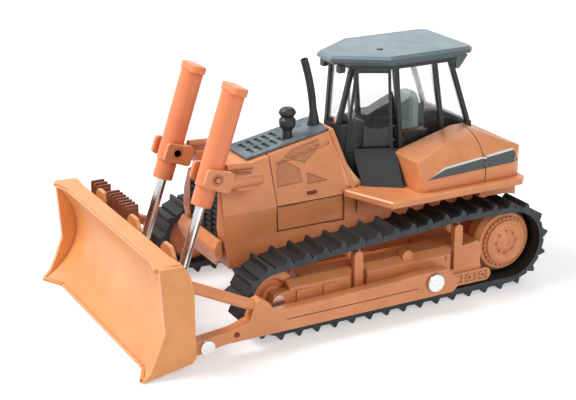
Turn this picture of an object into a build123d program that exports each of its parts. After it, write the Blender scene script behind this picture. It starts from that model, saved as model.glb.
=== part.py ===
from build123d import *
import os
from math import atan2, cos, degrees, hypot, pi, radians, sin, sqrt

# A die-cast scale model of a crawler bulldozer, about 1:50.
# Millimetres, +Z up, the blade towards -Y, the machine's left side towards +X.
# The origin is on the ground under the middle of the model.

# a reach past every edge of the model, for cutting tools
far = 200.0

# clearances: between pieces that move on each other, and between pieces that sit face to face
fit_gap = 0.3
seat_gap = 0.02

# crawler track, one loop a side
track_half_gauge = 24.35
shoe_width = 9.8
shoe_pitch = 5.1
shoe_joint = 0.25
shoe_thickness = 0.6
grouser_height = 1.3
grouser_base = 2.0
grouser_crest = 0.5
belt_thickness = 1.0
groove_depth = 0.4
groove_width = 3.0
sprocket_y = 47.6
idler_y = -21.6
sprocket_wrap = 9.05
idler_wrap = 7.45
carrier_radius = 2.3
carrier_ys = (1.2, 31.0)
carrier_lift = (1.0, 1.3)

# wheels that carry the loop
wheel_inset = 1.15
wheel_inner = track_half_gauge - shoe_width / 2 + wheel_inset
idler_width = 5.2
sprocket_width = 5.0
cover_radius = 6.0
cover_height = 1.2
hub_radius = 2.6
tooth_count = 30
tooth_depth = 0.4
axle_dimple = 0.7
axle_radius = 1.25
axle_head_radius = 1.6
axle_head_height = 0.7
spindle_radius = 0.7

# channel frame between the wheels
frame_inner = wheel_inner - 0.2
frame_inset = 0.75
frame_outer = track_half_gauge + shoe_width / 2 - frame_inset
frame_foot = 4.6
frame_top = 12.8
frame_slope = 1.5
frame_wall = 1.0
frame_recess = 1.2
box_lead = 3.4
roller_radius = 2.0
roller_top = 7.3
roller_count = 8
roller_pitch = 4.2
post_width = 2.4
post_depth = 1.5
plate_height = 0.5
lug_radius = 1.5
guard_foot = 3.7
guard_height = 3.4
guard_front = 16.0
guard_rear = 39.4
guard_thickness = 0.7
guard_relief = 0.3

# body between the tracks
chassis_half_width = 11.9
chassis_floor = 6.2
chassis_top = 26.0
chassis_front = -21.0
chassis_rear = 50.0
drive_radius = 3.4
beam_ys = (10.0, 29.0)
beam_length = 5.0
beam_foot = 7.8
beam_top = 11.8

# engine hood
hood_half_width = 12.0
hood_front = -28.0
hood_foot = 13.4
hood_crease = 27.6
hood_top_half = 6.2
hood_top_rear = 43.5
hood_slope = 0.193
hood_nose_set_back = 8.0
hood_nose_drop = 6.0
hood_rear_foot = 10.4
hood_rear_top = 6.2
hood_lip = 0.35
lip_length = 1.2
lip_rise = 13.0
seam_width = 0.35
seam_depth = 0.3
seam_y = -12.9
pocket_foot = 21.2
pocket_top = 27.2
pocket_rear = 6.3
slot_drop = 2.6
insert_half_width = 5.9
insert_length = 24.2
insert_margin = 0.4
insert_depth = 0.8
insert_crown = 0.7
insert_vents = 5
vent_pitch = 2.2
vent_depth = 0.5
grille_half_width = 8.2
grille_foot = 17.0
grille_top = 34.0
grille_depth = 2.4
louvre_pitch = 1.5
guard_reach = 2.0
guard_low = 13.8
guard_high = 21.0

# walkway over the tracks
deck_thickness = 1.7
deck_top = 29.2
deck_half_width = 27.0
deck_front = 6.0
deck_full_y = 11.8
deck_rear = 53.6
deck_corner = 2.0
fender_inset = 3.4

# tank body beside and behind the cab
tank_half_width = 24.4
tank_front = 21.5
tank_seam = 41.5
tank_rear = 55.0
tank_top_front = 36.8
tank_top_rear = 41.4
tank_shoulder_half = 14.6
tank_wall_height = 3.2
tank_corner = 6.0
tank_front_corner = 1.8
panel_gap = 0.3

# cab
cab_half_width = 11.2
cab_nose_half_width = 3.4
cab_nose_y = 9.0
cab_side_y = 22.6
cab_rear_y = 45.8
cab_floor_z = deck_top + seat_gap
cab_floor_thickness = 1.0
cab_sill_front = 36.8
cab_sill_rear = 41.6
cab_bulkhead_top = 43.4
cab_top = 59.6
cab_top_half_width = 10.8
cab_top_nose_half_width = 5.8
cab_top_nose_y = 11.8
cab_top_side_y = 21.0
cab_top_rear_y = 39.4
cab_middle_post_y = 37.0
cab_middle_head_y = 34.0
cab_wall = 0.9
post = 1.15
door_gap = 0.8
pane_thickness = 0.4
door_foot = 1.0
door_margin = 0.6
door_bar = 0.8
door_thickness = 0.35

# cab roof
roof_half_width = 12.2
roof_nose_half_width = 3.6
roof_front = 7.0
roof_side_y = 19.6
roof_rear = 45.6
roof_corner = 1.8
roof_thickness = 2.5
roof_bevel = 0.7
roof_lip = 0.9
roof_inset = 1.0
bracket_drop = 3.2
lamp_size = 2.0

# seat and controls
seat_y = 31.8
seat_half_width = 3.8
seat_cushion = 2.2
seat_rise = 3.96
seat_height = cab_floor_z + cab_floor_thickness + seat_gap + seat_rise
seat_back_top = 49.0
seat_back_thickness = 1.8
dash_y = 13.4
dash_length = 3.2
console_inner = 5.2
console_width = 2.8
console_front = 24.0
console_rear = 34.0

# exhaust and air intake on the hood
stack_foot_y = 4.0
stack_top_y = 1.2
stack_bend_y = 3.6
stack_bend_z = 50.5
stack_radius = 1.0
stack_top = 61.2
stack_flare = 1.6
stack_wall = 0.3
stack_flare_height = 3.4
intake_x = 2.4
intake_y = -4.9
intake_top = 50.2
intake_radius = 2.25

# lift cylinders on the radiator guard
cylinder_x = 11.8
yoke_y = -31.2
yoke_z = 39.0
barrel_radius = 2.95
barrel_nose_radius = 2.6
barrel_bore = 1.9
barrel_below = 7.8
barrel_above = 20.8
cap_length = 8.6
cap_width = 4.2
cap_height = 1.9
rod_radius = 1.25
rod_reach = 33.3
rod_lean = 18.9
rod_inside = 6.4
piston_length = 3.0
eye_radius = 2.3
eye_hole = 1.6
eye_width = 3.0
eye_pin = 0.9
eye_ear = 1.4
yoke_arm_thickness = 1.3
yoke_boss_radius = 1.5
trunnion_radius = 1.3
yoke_rear = -19.6
yoke_corner = 0.9

# drawbar at the back
hitch_half_width = 3.6
hitch_rear = 59.4
hitch_z = 15.6
hitch_height = 4.4
hitch_slot = 1.4
hitch_pin_y = 57.4
hitch_pin_radius = 1.0

# push arms and their pivot
arm_gap = 1.15
arm_thickness = 3.0
arm_outer = track_half_gauge + shoe_width / 2 + arm_gap + arm_thickness
arm_pivot_y = 20.7
arm_pivot_z = 8.4
arm_rear_reach = 4.0
arm_low = 4.6
arm_height = 5.6
arm_hole_y = -35.0
arm_hole_z = 6.2
arm_hole_radius = 0.8
arm_pin_y = -42.9
arm_pin_z = 4.9
arm_pin_radius = 1.2
rivet_radius = 1.9
rivet_head = 2.4
rivet_head_height = 0.9
rivet_seat = 0.8
ear_y = -28.6
ear_top = 14.0
strut_radius = 1.4
strut_rear_z = 12.0
strut_front_z = 20.4

# blade
blade_overhang = 1.8
blade_half_width = arm_outer + blade_overhang
blade_fold_x = 27.6
blade_sweep = 3.1
blade_belly_sweep = 0.75
lip_sweep = 0.6
blade_height = 27.2
blade_front = -56.6
blade_belly = -50.2
blade_thickness = 1.5
blade_back = -46.4
lip_front = -54.0
lip_depth = 4.6
lip_thickness = 1.0
end_plate_thickness = 1.3
edge_height = 0.9
edge_thickness = 0.5
beam_low = 5.6
beam_height = 3.6
lug_height = 9.0
lug_ribs = 4
lug_pitch = 1.5

OUT = "parts"


def outline(points):
    """Face bounded by straight lines through the points."""
    return make_face(Polyline(*points, close=True))


def side_prism(points, x0, x1):
    """Prism of a (y, z) outline between two x stations."""
    return extrude(Plane.YZ.offset(x0) * outline(points), amount=x1 - x0)


def plan_prism(points, z0, z1):
    """Prism of an (x, y) outline between two heights."""
    return extrude(Plane.XY.offset(z0) * outline(points), amount=z1 - z0)


def front_prism(points, y0, y1):
    """Prism of an (x, z) outline between two y stations."""
    plane = Plane(origin=(0, y1, 0), x_dir=(1, 0, 0), z_dir=(0, -1, 0))
    return extrude(plane * outline(points), amount=y1 - y0)


def block(x0, x1, y0, y1, z0, z1):
    """Box between opposite corners."""
    size = (x1 - x0, y1 - y0, z1 - z0)
    centre = ((x0 + x1) / 2, (y0 + y1) / 2, (z0 + z1) / 2)
    return Pos(*centre) * Box(*size)


def pin(x0, x1, y, z, radius):
    """Round bar along X."""
    return Plane.YZ.offset(x0) * Pos(y, z) * extrude(Circle(radius), amount=x1 - x0)


def bar(start, end, radius):
    """Round bar between two points."""
    way = Vector(*end) - Vector(*start)
    return Plane(origin=start, z_dir=way) * extrude(Circle(radius), amount=way.length)


def both_sides(solid):
    """The solid and its mirror image across the middle plane."""
    return {"left": solid, "right": mirror(solid, about=Plane.YZ)}


def belt_wire(circles, offset=0.0):
    """Belt round (y, z, radius) circles given anticlockwise, grown by an offset."""
    ends = []
    count = len(circles)
    for index, (ya, za, ra) in enumerate(circles):
        yb, zb, rb = circles[(index + 1) % count]
        span = hypot(yb - ya, zb - za)
        way = ((yb - ya) / span, (zb - za) / span)
        lean = (ra - rb) / span
        rise = sqrt(1 - lean * lean)
        normal = (way[0] * lean + way[1] * rise, way[1] * lean - way[0] * rise)
        grown = (ra + offset, rb + offset)
        start = (ya + normal[0] * grown[0], za + normal[1] * grown[0])
        end = (yb + normal[0] * grown[1], zb + normal[1] * grown[1])
        ends.append((start, end))
    edges = []
    for index, (yc, zc, radius) in enumerate(circles):
        arrive = ends[index - 1][1]
        leave = ends[index][0]
        first = atan2(arrive[1] - zc, arrive[0] - yc)
        last = atan2(leave[1] - zc, leave[0] - yc)
        turn = (last - first) % (2 * pi)
        middle = first + turn / 2
        grown = radius + offset
        crest = (yc + grown * cos(middle), zc + grown * sin(middle))
        edges.append(ThreePointArc(arrive, crest, leave))
        edges.append(Line(*ends[index]))
    return Wire(edges)


def track_circles():
    """Wheels and carrier rollers that the belt's inner face runs on."""
    wrap = belt_thickness + shoe_thickness + grouser_height
    sprocket = (sprocket_y, sprocket_wrap + wrap, sprocket_wrap)
    idler = (idler_y, idler_wrap + wrap, idler_wrap)
    carriers = []
    for y, lift in zip(reversed(carrier_ys), reversed(carrier_lift)):
        share = (y - idler_y) / (sprocket_y - idler_y)
        top_idler = idler[1] + idler_wrap
        top_sprocket = sprocket[1] + sprocket_wrap
        top = top_idler + share * (top_sprocket - top_idler) + lift
        carriers.append((y, top - carrier_radius, carrier_radius))
    return [idler, sprocket] + carriers


def wheel_centre(index):
    """Axle of the idler (0) or of the sprocket (1)."""
    y, z, radius = track_circles()[index]
    return y, z


def shoe_outline(wire):
    """Outer outline of the loop: flat shoes, each with its pointed grouser bar."""
    count = round(wire.length / shoe_pitch)
    nodes = [wire @ (index / count) for index in range(count)]
    points = []
    for index, start in enumerate(nodes):
        end = nodes[(index + 1) % count]
        way = (end - start).normalized()
        out = Vector(way.Y, -way.X)
        foot = start + way * shoe_joint
        crest = foot + way * (grouser_base - grouser_crest) / 2
        points.append(start)
        points.append(foot + out * shoe_thickness)
        points.append(crest + out * (shoe_thickness + grouser_height))
        points.append(crest + way * grouser_crest + out * (shoe_thickness + grouser_height))
        points.append(foot + way * grouser_base + out * shoe_thickness)
        points.append(end - way * shoe_joint + out * shoe_thickness)
    return [(point.X, point.Y) for point in points]


def make_track():
    """Belt with its shoes in the outline and a roller groove inside."""
    circles = track_circles()
    inner = make_face(belt_wire(circles))
    groove = make_face(belt_wire(circles, groove_depth))
    shoes = outline(shoe_outline(belt_wire(circles, belt_thickness)))
    x0 = track_half_gauge - shoe_width / 2
    loop = extrude(Plane.YZ.offset(x0) * (shoes - inner), amount=shoe_width)
    channel_x = track_half_gauge - groove_width / 2
    channel = extrude(Plane.YZ.offset(channel_x) * groove, amount=groove_width)
    return loop - channel


def make_sprocket():
    """Final drive wheel: wide coned rim, toothed ring and dished hub cover."""
    y, z = wheel_centre(1)
    rim = sprocket_wrap - fit_gap
    face = wheel_inner + sprocket_width
    cover = face + cover_height
    body = wheel(
        [
            (wheel_inner, 0), (wheel_inner, rim - 0.7), (wheel_inner + 0.7, rim), (face - 1.5, rim),
            (face, rim - 1.0), (face, cover_radius), (cover, cover_radius), (cover + 0.2, cover_radius - 0.6),
            (cover - 0.3, cover_radius - 1.2), (cover - 0.3, hub_radius + 0.8), (cover + 0.2, hub_radius),
            (cover + 0.7, hub_radius - 1.2), (cover + 0.7, axle_dimple + 0.3), (cover + 0.3, axle_dimple),
            (cover + 0.3, 0),
        ],
        y,
        z,
    )
    points = []
    for index in range(tooth_count):
        for share, reach in ((-0.2, tooth_depth), (0.2, tooth_depth), (0.4, 0), (0.6, 0)):
            angle = 2 * pi * (index + share) / tooth_count
            radius = cover_radius + tooth_depth + reach
            points.append((y + radius * cos(angle), z + radius * sin(angle)))
    return body + side_prism(points, face, face + cover_height / 2)


def make_idler():
    """Front wheel: rounded tyre-like rim round a recessed web and hub."""
    y, z = wheel_centre(0)
    rim = idler_wrap - fit_gap
    bore = axle_radius + seat_gap
    face = wheel_inner + idler_width
    web = face - 1.2
    round_over = 1.6
    slanted = round_over * (1 - sqrt(0.5))
    return wheel(
        [
            (wheel_inner, bore), (wheel_inner, rim - round_over),
            (wheel_inner + slanted, rim - slanted), (wheel_inner + round_over, rim),
            (face - round_over, rim), (face - slanted, rim - slanted),
            (face, rim - round_over), (face, rim - 2.4), (web, rim - 3.2), (web, hub_radius + 0.4),
            (face, hub_radius), (face, bore),
        ],
        y,
        z,
    )


def make_track_frame():
    """Channel beam between the wheels with its boxes, roller posts, guard and idler fork."""
    idler_yc, idler_z = wheel_centre(0)
    sprocket_yc = wheel_centre(1)[0]
    front = idler_yc + idler_wrap + fit_gap
    rear = sprocket_yc - sprocket_wrap - fit_gap
    (front_post, front_z, _), (rear_post, rear_z, _) = sorted(track_circles()[2:])
    fork_inner = wheel_inner + idler_width + fit_gap
    face = frame_outer
    box_front = idler_yc + box_lead
    recess = block(face - frame_recess, face + 1, front, rear + 1, roller_top + 1.0, far)
    solid = frame_section(front, rear, frame_inner) - recess
    solid = solid + frame_section(box_front, front + 0.1, fork_inner)
    solid = solid + frame_section(front, front_post - post_width, frame_inner)
    solid = solid + frame_section(front_post + post_width, rear_post - post_width, frame_inner)
    for y, z in ((front_post, front_z), (rear_post, rear_z)):
        column = block(face - post_depth, face, y - post_width / 2, y + post_width / 2, frame_foot + 1.0, z)
        crown = pin(face - post_depth, face, y, z, post_width / 2)
        spindle = pin(wheel_inner, face - post_depth, y, z, spindle_radius)
        solid = solid + column + crown + spindle
    span = front_post - post_width - box_front
    for share in (0.22, 0.66):
        y = box_front + share * span
        plate = block(face, face + plate_height, y - 2.0, y + 2.0, frame_foot + 1.4, frame_top - 0.8)
        solid = solid + plate - pin(face - 0.4, face + 1.0, y, frame_foot + 4.0, spindle_radius - 0.2)
    fork = side_prism(
        [
            (idler_yc - 1.9, idler_z - 1.0), (idler_yc - 1.0, idler_z - 2.0),
            (box_front + 0.2, idler_z - 2.4), (box_front + 0.2, idler_z + 2.0),
            (idler_yc - 1.0, idler_z + 1.6),
        ],
        fork_inner,
        face,
    )
    solid = solid + fork - pin(fork_inner - 1, face + 1, idler_yc, idler_z, axle_radius + seat_gap)
    bracket_y = rear_post + post_width / 2
    bracket = side_prism(
        [
            (bracket_y, frame_foot + 2.0), (rear - 0.2, frame_foot + 2.0), (rear - 0.2, frame_top + 1.4),
            (rear - 1.4, frame_top + 2.2), (bracket_y, frame_top + 1.6),
        ],
        face - post_depth,
        face,
    )
    lug_y = (front_post + rear_post) / 2
    lug = pin(face - 3.4, face - 0.8, lug_y, frame_top + frame_slope, lug_radius)
    bore = pin(face - rivet_seat - seat_gap, face + 2.0, arm_pivot_y, arm_pivot_z, rivet_radius + seat_gap)
    return solid + bracket + lug + make_roller_guard() - bore - roller_channel(front - 1, rear + 1)


def make_idler_axle():
    """Bright idler axle with its headed end."""
    y, z = wheel_centre(0)
    shank = pin(wheel_inner, frame_outer + 0.2, y, z, axle_radius)
    return shank + pin(frame_outer + seat_gap, frame_outer + axle_head_height, y, z, axle_head_radius)


def make_carriers():
    """Carrier rollers on their spindles above, track rollers between the channel's walls below."""
    rollers = []
    for y, z, radius in track_circles()[2:]:
        profile = [
            (wheel_inner + 0.6, spindle_radius + seat_gap), (wheel_inner + 0.6, radius - 0.9),
            (wheel_inner + 1.2, radius - fit_gap), (frame_outer - post_depth - 1.0, radius - fit_gap),
            (frame_outer - post_depth - fit_gap, radius - 0.9),
            (frame_outer - post_depth - fit_gap, spindle_radius + seat_gap),
        ]
        rollers.append(wheel(profile, y, z))
    z = roller_top - roller_radius
    first = wheel_centre(0)[0] + idler_wrap + roller_radius + 1.0
    last = wheel_centre(1)[0] - sprocket_wrap - roller_radius - 1.0
    step = (last - first) / (roller_count - 1)
    low = frame_inner + frame_wall + seat_gap
    high = frame_outer - frame_wall - seat_gap
    for index in range(roller_count):
        y = first + index * step
        axle = pin(low, high, y, z, spindle_radius)
        rollers.append(axle + pin(low + fit_gap, high - fit_gap, y, z, roller_radius))
    return Compound(rollers)


def make_arm_rivet():
    """Headed rivet that the push arm turns on."""
    head_foot = arm_outer + fit_gap
    shank = pin(frame_outer - rivet_seat, head_foot + 0.4, arm_pivot_y, arm_pivot_z, rivet_radius)
    head = pin(head_foot, head_foot + rivet_head_height, arm_pivot_y, arm_pivot_z, rivet_head)
    head_edge = head.edges().filter_by(GeomType.CIRCLE).sort_by(Axis.X)[-1]
    return shank + fillet(head_edge, rivet_head_height / 2)


def make_chassis():
    """Hull between the tracks, with the belly slope, cross beams and final drive housings."""
    half = chassis_half_width
    hull = side_prism(
        [
            (chassis_front, chassis_floor + 5.0), (chassis_front + 7.0, chassis_floor),
            (chassis_rear - 6.0, chassis_floor), (chassis_rear, chassis_floor + 6.0),
            (chassis_rear, chassis_top), (chassis_front, chassis_top),
        ],
        -half,
        half,
    )
    y, z = wheel_centre(1)
    housing = wheel(
        [
            (half - 1.0, 0), (half - 1.0, drive_radius + 2.2), (half + 2.6, drive_radius + 2.2),
            (half + 4.0, drive_radius), (wheel_inner - seat_gap, drive_radius), (wheel_inner - seat_gap, 0),
        ],
        y,
        z,
    )
    solid = hull + housing + mirror(housing, about=Plane.YZ)
    inner = frame_inner - seat_gap
    for beam_y in beam_ys:
        beam = block(-inner, inner, beam_y - beam_length / 2, beam_y + beam_length / 2, beam_foot, beam_top)
        solid = solid + beam
    return solid


def hood_top(y):
    """Height of the hood's top at a y station."""
    return hood_top_rear + hood_slope * (y - hood_rear_top)


def make_hood():
    """Engine hood with its grille well, seams, top pocket and the raised lip at its rear edge."""
    well = block(
        -grille_half_width, grille_half_width, hood_front - 2.0, hood_front + grille_depth,
        grille_foot, grille_top,
    )
    hull = block(-far, far, chassis_front - seat_gap, far, 0, chassis_top + seat_gap)
    cab_room = plan_prism(cab_plan(-fit_gap), cab_floor_z - fit_gap, far)
    pocket = hood_slab(2 * insert_half_width, insert_length, -insert_depth, 3.0, insert_middle())
    lip_foot = hood_foot + lip_rise
    lip = side_prism(
        [
            (hood_rear_foot - lip_length, lip_foot), (hood_rear_foot, lip_foot),
            (hood_rear_foot, hood_crease), (hood_rear_top, hood_top_rear + hood_lip),
            (hood_rear_top - lip_length, hood_top_rear + hood_lip),
            (hood_rear_foot - lip_length, hood_crease),
        ],
        -far,
        far,
    )
    solid = hood_form(0, hood_foot) - hood_seams() + (hood_form(hood_lip, hood_foot) & lip)
    return solid - well - hull - pocket - cab_room


def hood_slab(width, length, low, high, y):
    """Slab lying on the hood's sloping top, between two heights above it."""
    slab = Box(width, length, high - low, align=(Align.CENTER, Align.CENTER, Align.MIN))
    tilt = degrees(atan2(hood_slope, 1))
    return Pos(0, y, hood_top(y)) * Rot(tilt, 0, 0) * Pos(0, 0, low) * slab


def make_hood_insert():
    """Dark louvred lid let into the hood's top, with bevelled edges and sunken vents."""
    width = 2 * (insert_half_width - seat_gap)
    middle = insert_middle()
    lid = hood_slab(width, insert_length - 2 * seat_gap, -insert_depth + seat_gap, insert_crown, middle)
    lid = chamfer(lid.faces().sort_by(Axis.Z)[-1].edges(), insert_crown - 0.1)
    first = middle - insert_length / 2 + 3.0
    for index in range(insert_vents):
        y = first + index * vent_pitch
        lid = lid - hood_slab(width - 3.6, vent_pitch / 2, insert_crown - vent_depth, insert_crown + 1.0, y)
    rib_y = first + (insert_vents - 1) * vent_pitch / 2
    foot = insert_crown - vent_depth - 0.1
    return lid + hood_slab(0.8, insert_vents * vent_pitch, foot, insert_crown, rib_y)


def make_grille():
    """Radiator grille of slanted slats behind upright ribs."""
    half = grille_half_width - seat_gap
    back = hood_front + grille_depth - seat_gap
    solid = block(-half, half, back - 0.9, back, grille_foot + seat_gap, grille_top - seat_gap)
    count = int((grille_top - grille_foot - 1.2) / louvre_pitch)
    for index in range(count):
        z = grille_foot + 1.0 + index * louvre_pitch
        section = [(back - 0.8, z), (back - 0.8, z + 0.8), (back - 1.9, z + 0.1), (back - 1.9, z - 0.5)]
        slat = side_prism(section, -half, half)
        solid = solid + slat
    for share in (-0.5, 0, 0.5):
        x = share * grille_half_width
        rib = block(x - 0.3, x + 0.3, back - 2.1, back - 0.5, grille_foot + seat_gap, grille_top - seat_gap)
        solid = solid + rib
    return solid


def make_front_guard():
    """Folded lower guard under the grille: ledge, bright face and tucked-under foot."""
    face = hood_front - seat_gap
    high_half = hood_half_width - 1.0
    low_half = hood_half_width - 3.4
    guard = side_prism(
        [
            (face, guard_low), (face, guard_high), (face - 0.8, guard_high),
            (face - guard_reach, guard_high - 2.0), (face - guard_reach, guard_high - 3.2),
            (face - 0.6, guard_low),
        ],
        -high_half,
        high_half,
    )
    plan = front_prism(
        [
            (-low_half, guard_low), (low_half, guard_low), (high_half, guard_low + 3.0),
            (high_half, guard_high),
            (-high_half, guard_high), (-high_half, guard_low + 3.0),
        ],
        face - guard_reach - 1,
        face,
    )
    return guard & plan


def make_stack():
    """Exhaust stack: flared foot, then a pipe that bends towards the front, open at its mouth."""
    base = hood_top(stack_foot_y) + insert_crown - 0.6
    rise = base + 0.8 + stack_flare_height
    flare = Plane.XZ * outline(
        [(0, base), (stack_flare, base), (stack_flare, base + 0.8), (stack_radius, rise), (0, rise)]
    )
    foot = Pos(0, stack_foot_y, 0) * revolve(flare, axis=Axis.Z)
    start = (0, stack_foot_y, base + 0.5)
    path = Wire([ThreePointArc(start, (0, stack_bend_y, stack_bend_z), (0, stack_top_y, stack_top))])
    pipe = sweep(Plane(origin=start, z_dir=path % 0) * Circle(stack_radius), path=path)
    mouth = Plane(origin=(0, stack_top_y, stack_top), z_dir=path % 1)
    bore = mouth * Pos(0, 0, -3.0) * extrude(Circle(stack_radius - stack_wall), amount=4.0)
    return foot + pipe - bore - hood_slab(far, far, -far, insert_crown + seat_gap, stack_foot_y)


def make_intake():
    """Air pre-cleaner: stem, ribbed bowl and mushroom cap."""
    top = intake_top
    bowl = intake_radius
    neck = bowl * 0.5
    profile = [
        (0, top - 10), (neck + 0.2, top - 10), (neck + 0.1, top - 6.2), (bowl - 0.4, top - 5.4),
        (bowl - 0.1, top - 4.6), (bowl - 0.1, top - 3.4), (neck + 0.4, top - 2.6), (bowl - 0.3, top - 2.2),
        (bowl, top - 1.6), (bowl - 0.2, top - 0.9), (neck + 0.2, top - 0.3), (0, top),
    ]
    face = Plane.XZ * outline(profile)
    intake = Pos(intake_x, intake_y, 0) * revolve(face, axis=Axis.Z)
    return intake - hood_slab(far, far, -far, insert_crown + seat_gap, intake_y)


def make_deck():
    """Walkway plates over both tracks, joined behind the hood."""
    half = deck_half_width
    nose = hood_half_width + fit_gap + 0.1
    corner = deck_corner
    points = [
        (-nose, deck_front), (-half, deck_full_y), (-half, deck_rear - corner), (-half + corner, deck_rear),
        (half - corner, deck_rear), (half, deck_rear - corner), (half, deck_full_y), (nose, deck_front),
    ]
    plate = plan_prism(points, deck_top - deck_thickness, deck_top)
    notch = block(
        -hood_half_width - fit_gap - hood_lip, hood_half_width + fit_gap + hood_lip, -far,
        hood_rear_foot + seat_gap, 0, far,
    )
    rim = plate.faces().sort_by(Axis.Z)[-1].edges()
    return chamfer(rim, 0.35) - notch


def make_underdeck():
    """Body block that carries the deck on the hull, with fenders arched over the drive wheels."""
    top = deck_top - deck_thickness - seat_gap
    half = chassis_half_width + 1.0
    middle = block(-half, half, hood_rear_foot + fit_gap, chassis_rear, chassis_top + seat_gap, top)
    y, z = wheel_centre(1)
    reach = deck_half_width - fender_inset
    fender = block(-reach, reach, y - sprocket_wrap + 2.0, deck_rear - 1.6, z, top)
    hull = block(-half, half, 0, chassis_rear + seat_gap, 0, chassis_top + seat_gap)
    return middle + (fender - track_envelope(2 * fit_gap)) - hull


def tank_body():
    """Whole shoulder body round the cab before it is cut into its three shells."""
    low = deck_top + seat_gap
    half = tank_half_width
    wall_top = low + tank_wall_height
    plane = Plane(origin=(0, tank_rear + 1, 0), x_dir=(1, 0, 0), z_dir=(0, -1, 0))
    across = extrude(plane * shoulder(half, wall_top, tank_shoulder_half, tank_top_rear), amount=40)
    bulge = (tank_rear - 0.9, wall_top + 3.6)
    profile = make_face(
        Wire(
            [
                Line((tank_front, low), (tank_rear, low)), Line((tank_rear, low), (tank_rear, wall_top)),
                ThreePointArc((tank_rear, wall_top), bulge, (tank_rear - 4.6, low + 8.6)),
                Line((tank_rear - 4.6, low + 8.6), (tank_rear - 12.5, tank_top_rear)),
                Line((tank_rear - 12.5, tank_top_rear), (tank_front + 17.5, tank_top_rear)),
                Line((tank_front + 17.5, tank_top_rear), (tank_front, tank_top_front)),
                Line((tank_front, tank_top_front), (tank_front, low)),
            ]
        )
    )
    along = extrude(Plane.YZ.offset(-half) * profile, amount=2 * half)
    middle = (tank_front + tank_rear) / 2
    plan = Pos(0, middle, low) * extrude(Rectangle(2 * half, tank_rear - tank_front), amount=30)
    plan = fillet(plan.edges().filter_by(Axis.Z).group_by(Axis.Y)[-1], tank_corner)
    plan = fillet(plan.edges().filter_by(Axis.Z).group_by(Axis.Y)[0], tank_front_corner)
    return across & along & plan


def make_tanks():
    """Side tanks and rear shell, cut from the one shape along the panel seams."""
    body = tank_body()
    reach = cab_half_width + fit_gap
    pit = block(-reach, reach, tank_front - far, cab_rear_y + fit_gap, 0, far)
    body = body - pit
    half_gap = panel_gap / 2
    left = body & block(0, far, 0, tank_seam - half_gap, 0, far)
    right = body & block(-far, 0, 0, tank_seam - half_gap, 0, far)
    rear = body & block(-far, far, tank_seam + half_gap, far, 0, far)
    return left, right, rear


def cab_plan(inset):
    """Cab outline in plan below the windows: narrow nose, angled door faces, straight sides."""
    half = cab_half_width - inset
    nose = cab_nose_half_width - 0.6 * inset
    return [
        (-nose, cab_nose_y + inset), (nose, cab_nose_y + inset), (half, cab_side_y + 0.6 * inset),
        (half, cab_rear_y - inset), (-half, cab_rear_y - inset), (-half, cab_side_y + 0.6 * inset),
    ]


def cab_top_plan(inset):
    """Cab outline in plan under the roof."""
    half = cab_top_half_width - inset
    nose = cab_top_nose_half_width - 0.6 * inset
    return [
        (-nose, cab_top_nose_y + inset), (nose, cab_top_nose_y + inset), (half, cab_top_side_y + 0.6 * inset),
        (half, cab_top_rear_y - inset), (-half, cab_top_rear_y - inset),
        (-half, cab_top_side_y + 0.6 * inset),
    ]


def cab_post(foot, head):
    """Square post between two points."""
    way = Vector(*head) - Vector(*foot)
    plane = Plane(origin=foot, x_dir=(1, 0, 0), z_dir=way)
    return plane * Box(post, post, way.length, align=(Align.CENTER, Align.CENTER, Align.MIN))


def make_cab_frame():
    """Tub below the windows, leaning posts and the ring under the roof."""
    floor = cab_floor_z + cab_floor_thickness
    tub = plan_prism(cab_plan(0), cab_floor_z, cab_top) - plan_prism(cab_plan(cab_wall), floor, cab_top)
    side = side_prism(
        [
            (cab_nose_y, cab_floor_z), (cab_rear_y, cab_floor_z), (cab_rear_y, cab_sill_rear),
            (cab_side_y, cab_sill_front), (cab_nose_y + 5.0, cab_sill_front),
            (cab_nose_y + 3.4, cab_bulkhead_top), (cab_nose_y, cab_bulkhead_top),
        ],
        -cab_half_width,
        cab_half_width,
    )
    ring_foot = cab_top - post
    ring = plan_prism(cab_top_plan(0), ring_foot, cab_top)
    ring = ring - plan_prism(cab_top_plan(post), ring_foot, cab_top)
    solid = (tub & side) + ring
    half = post / 2
    shift = {
        "nose": (-half, half), "side": (-half, half + door_gap),
        "middle": (-half, 0), "rear": (-half, -half),
    }
    for name, (foot, head) in cab_corners().items():
        dx, dy = shift[name]
        low = (foot[0] + dx, foot[1] + dy, foot[2] - post)
        high = (head[0] + dx, head[1] + dy, head[2] - half)
        upright = cab_post(low, high)
        solid = solid + upright + mirror(upright, about=Plane.YZ)
    return solid


def make_roof():
    """Faceted roof plate with a deep edge, a stepped lip below it and brackets at its rear corners."""
    foot = cab_top + seat_gap
    plate = plan_prism(roof_plan(0), foot + roof_lip, foot + roof_thickness)
    plate = chamfer(plate.faces().sort_by(Axis.Z)[-1].edges(), roof_bevel)
    lip = plan_prism(roof_plan(roof_inset), foot, foot + roof_lip)
    drop = cab_top - bracket_drop
    back = cab_top_rear_y + post
    bracket = side_prism(
        [(back, foot + 0.1), (roof_rear - roof_inset - 0.4, foot + 0.1), (back + 1.0, drop), (back, drop)],
        cab_top_half_width - post,
        cab_top_half_width,
    )
    cap = Pos(cab_nose_half_width, roof_side_y + 2.0, foot + roof_thickness) * Cylinder(0.8, 0.8)
    return plate + lip + bracket + mirror(bracket, about=Plane.YZ) + cap


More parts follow.
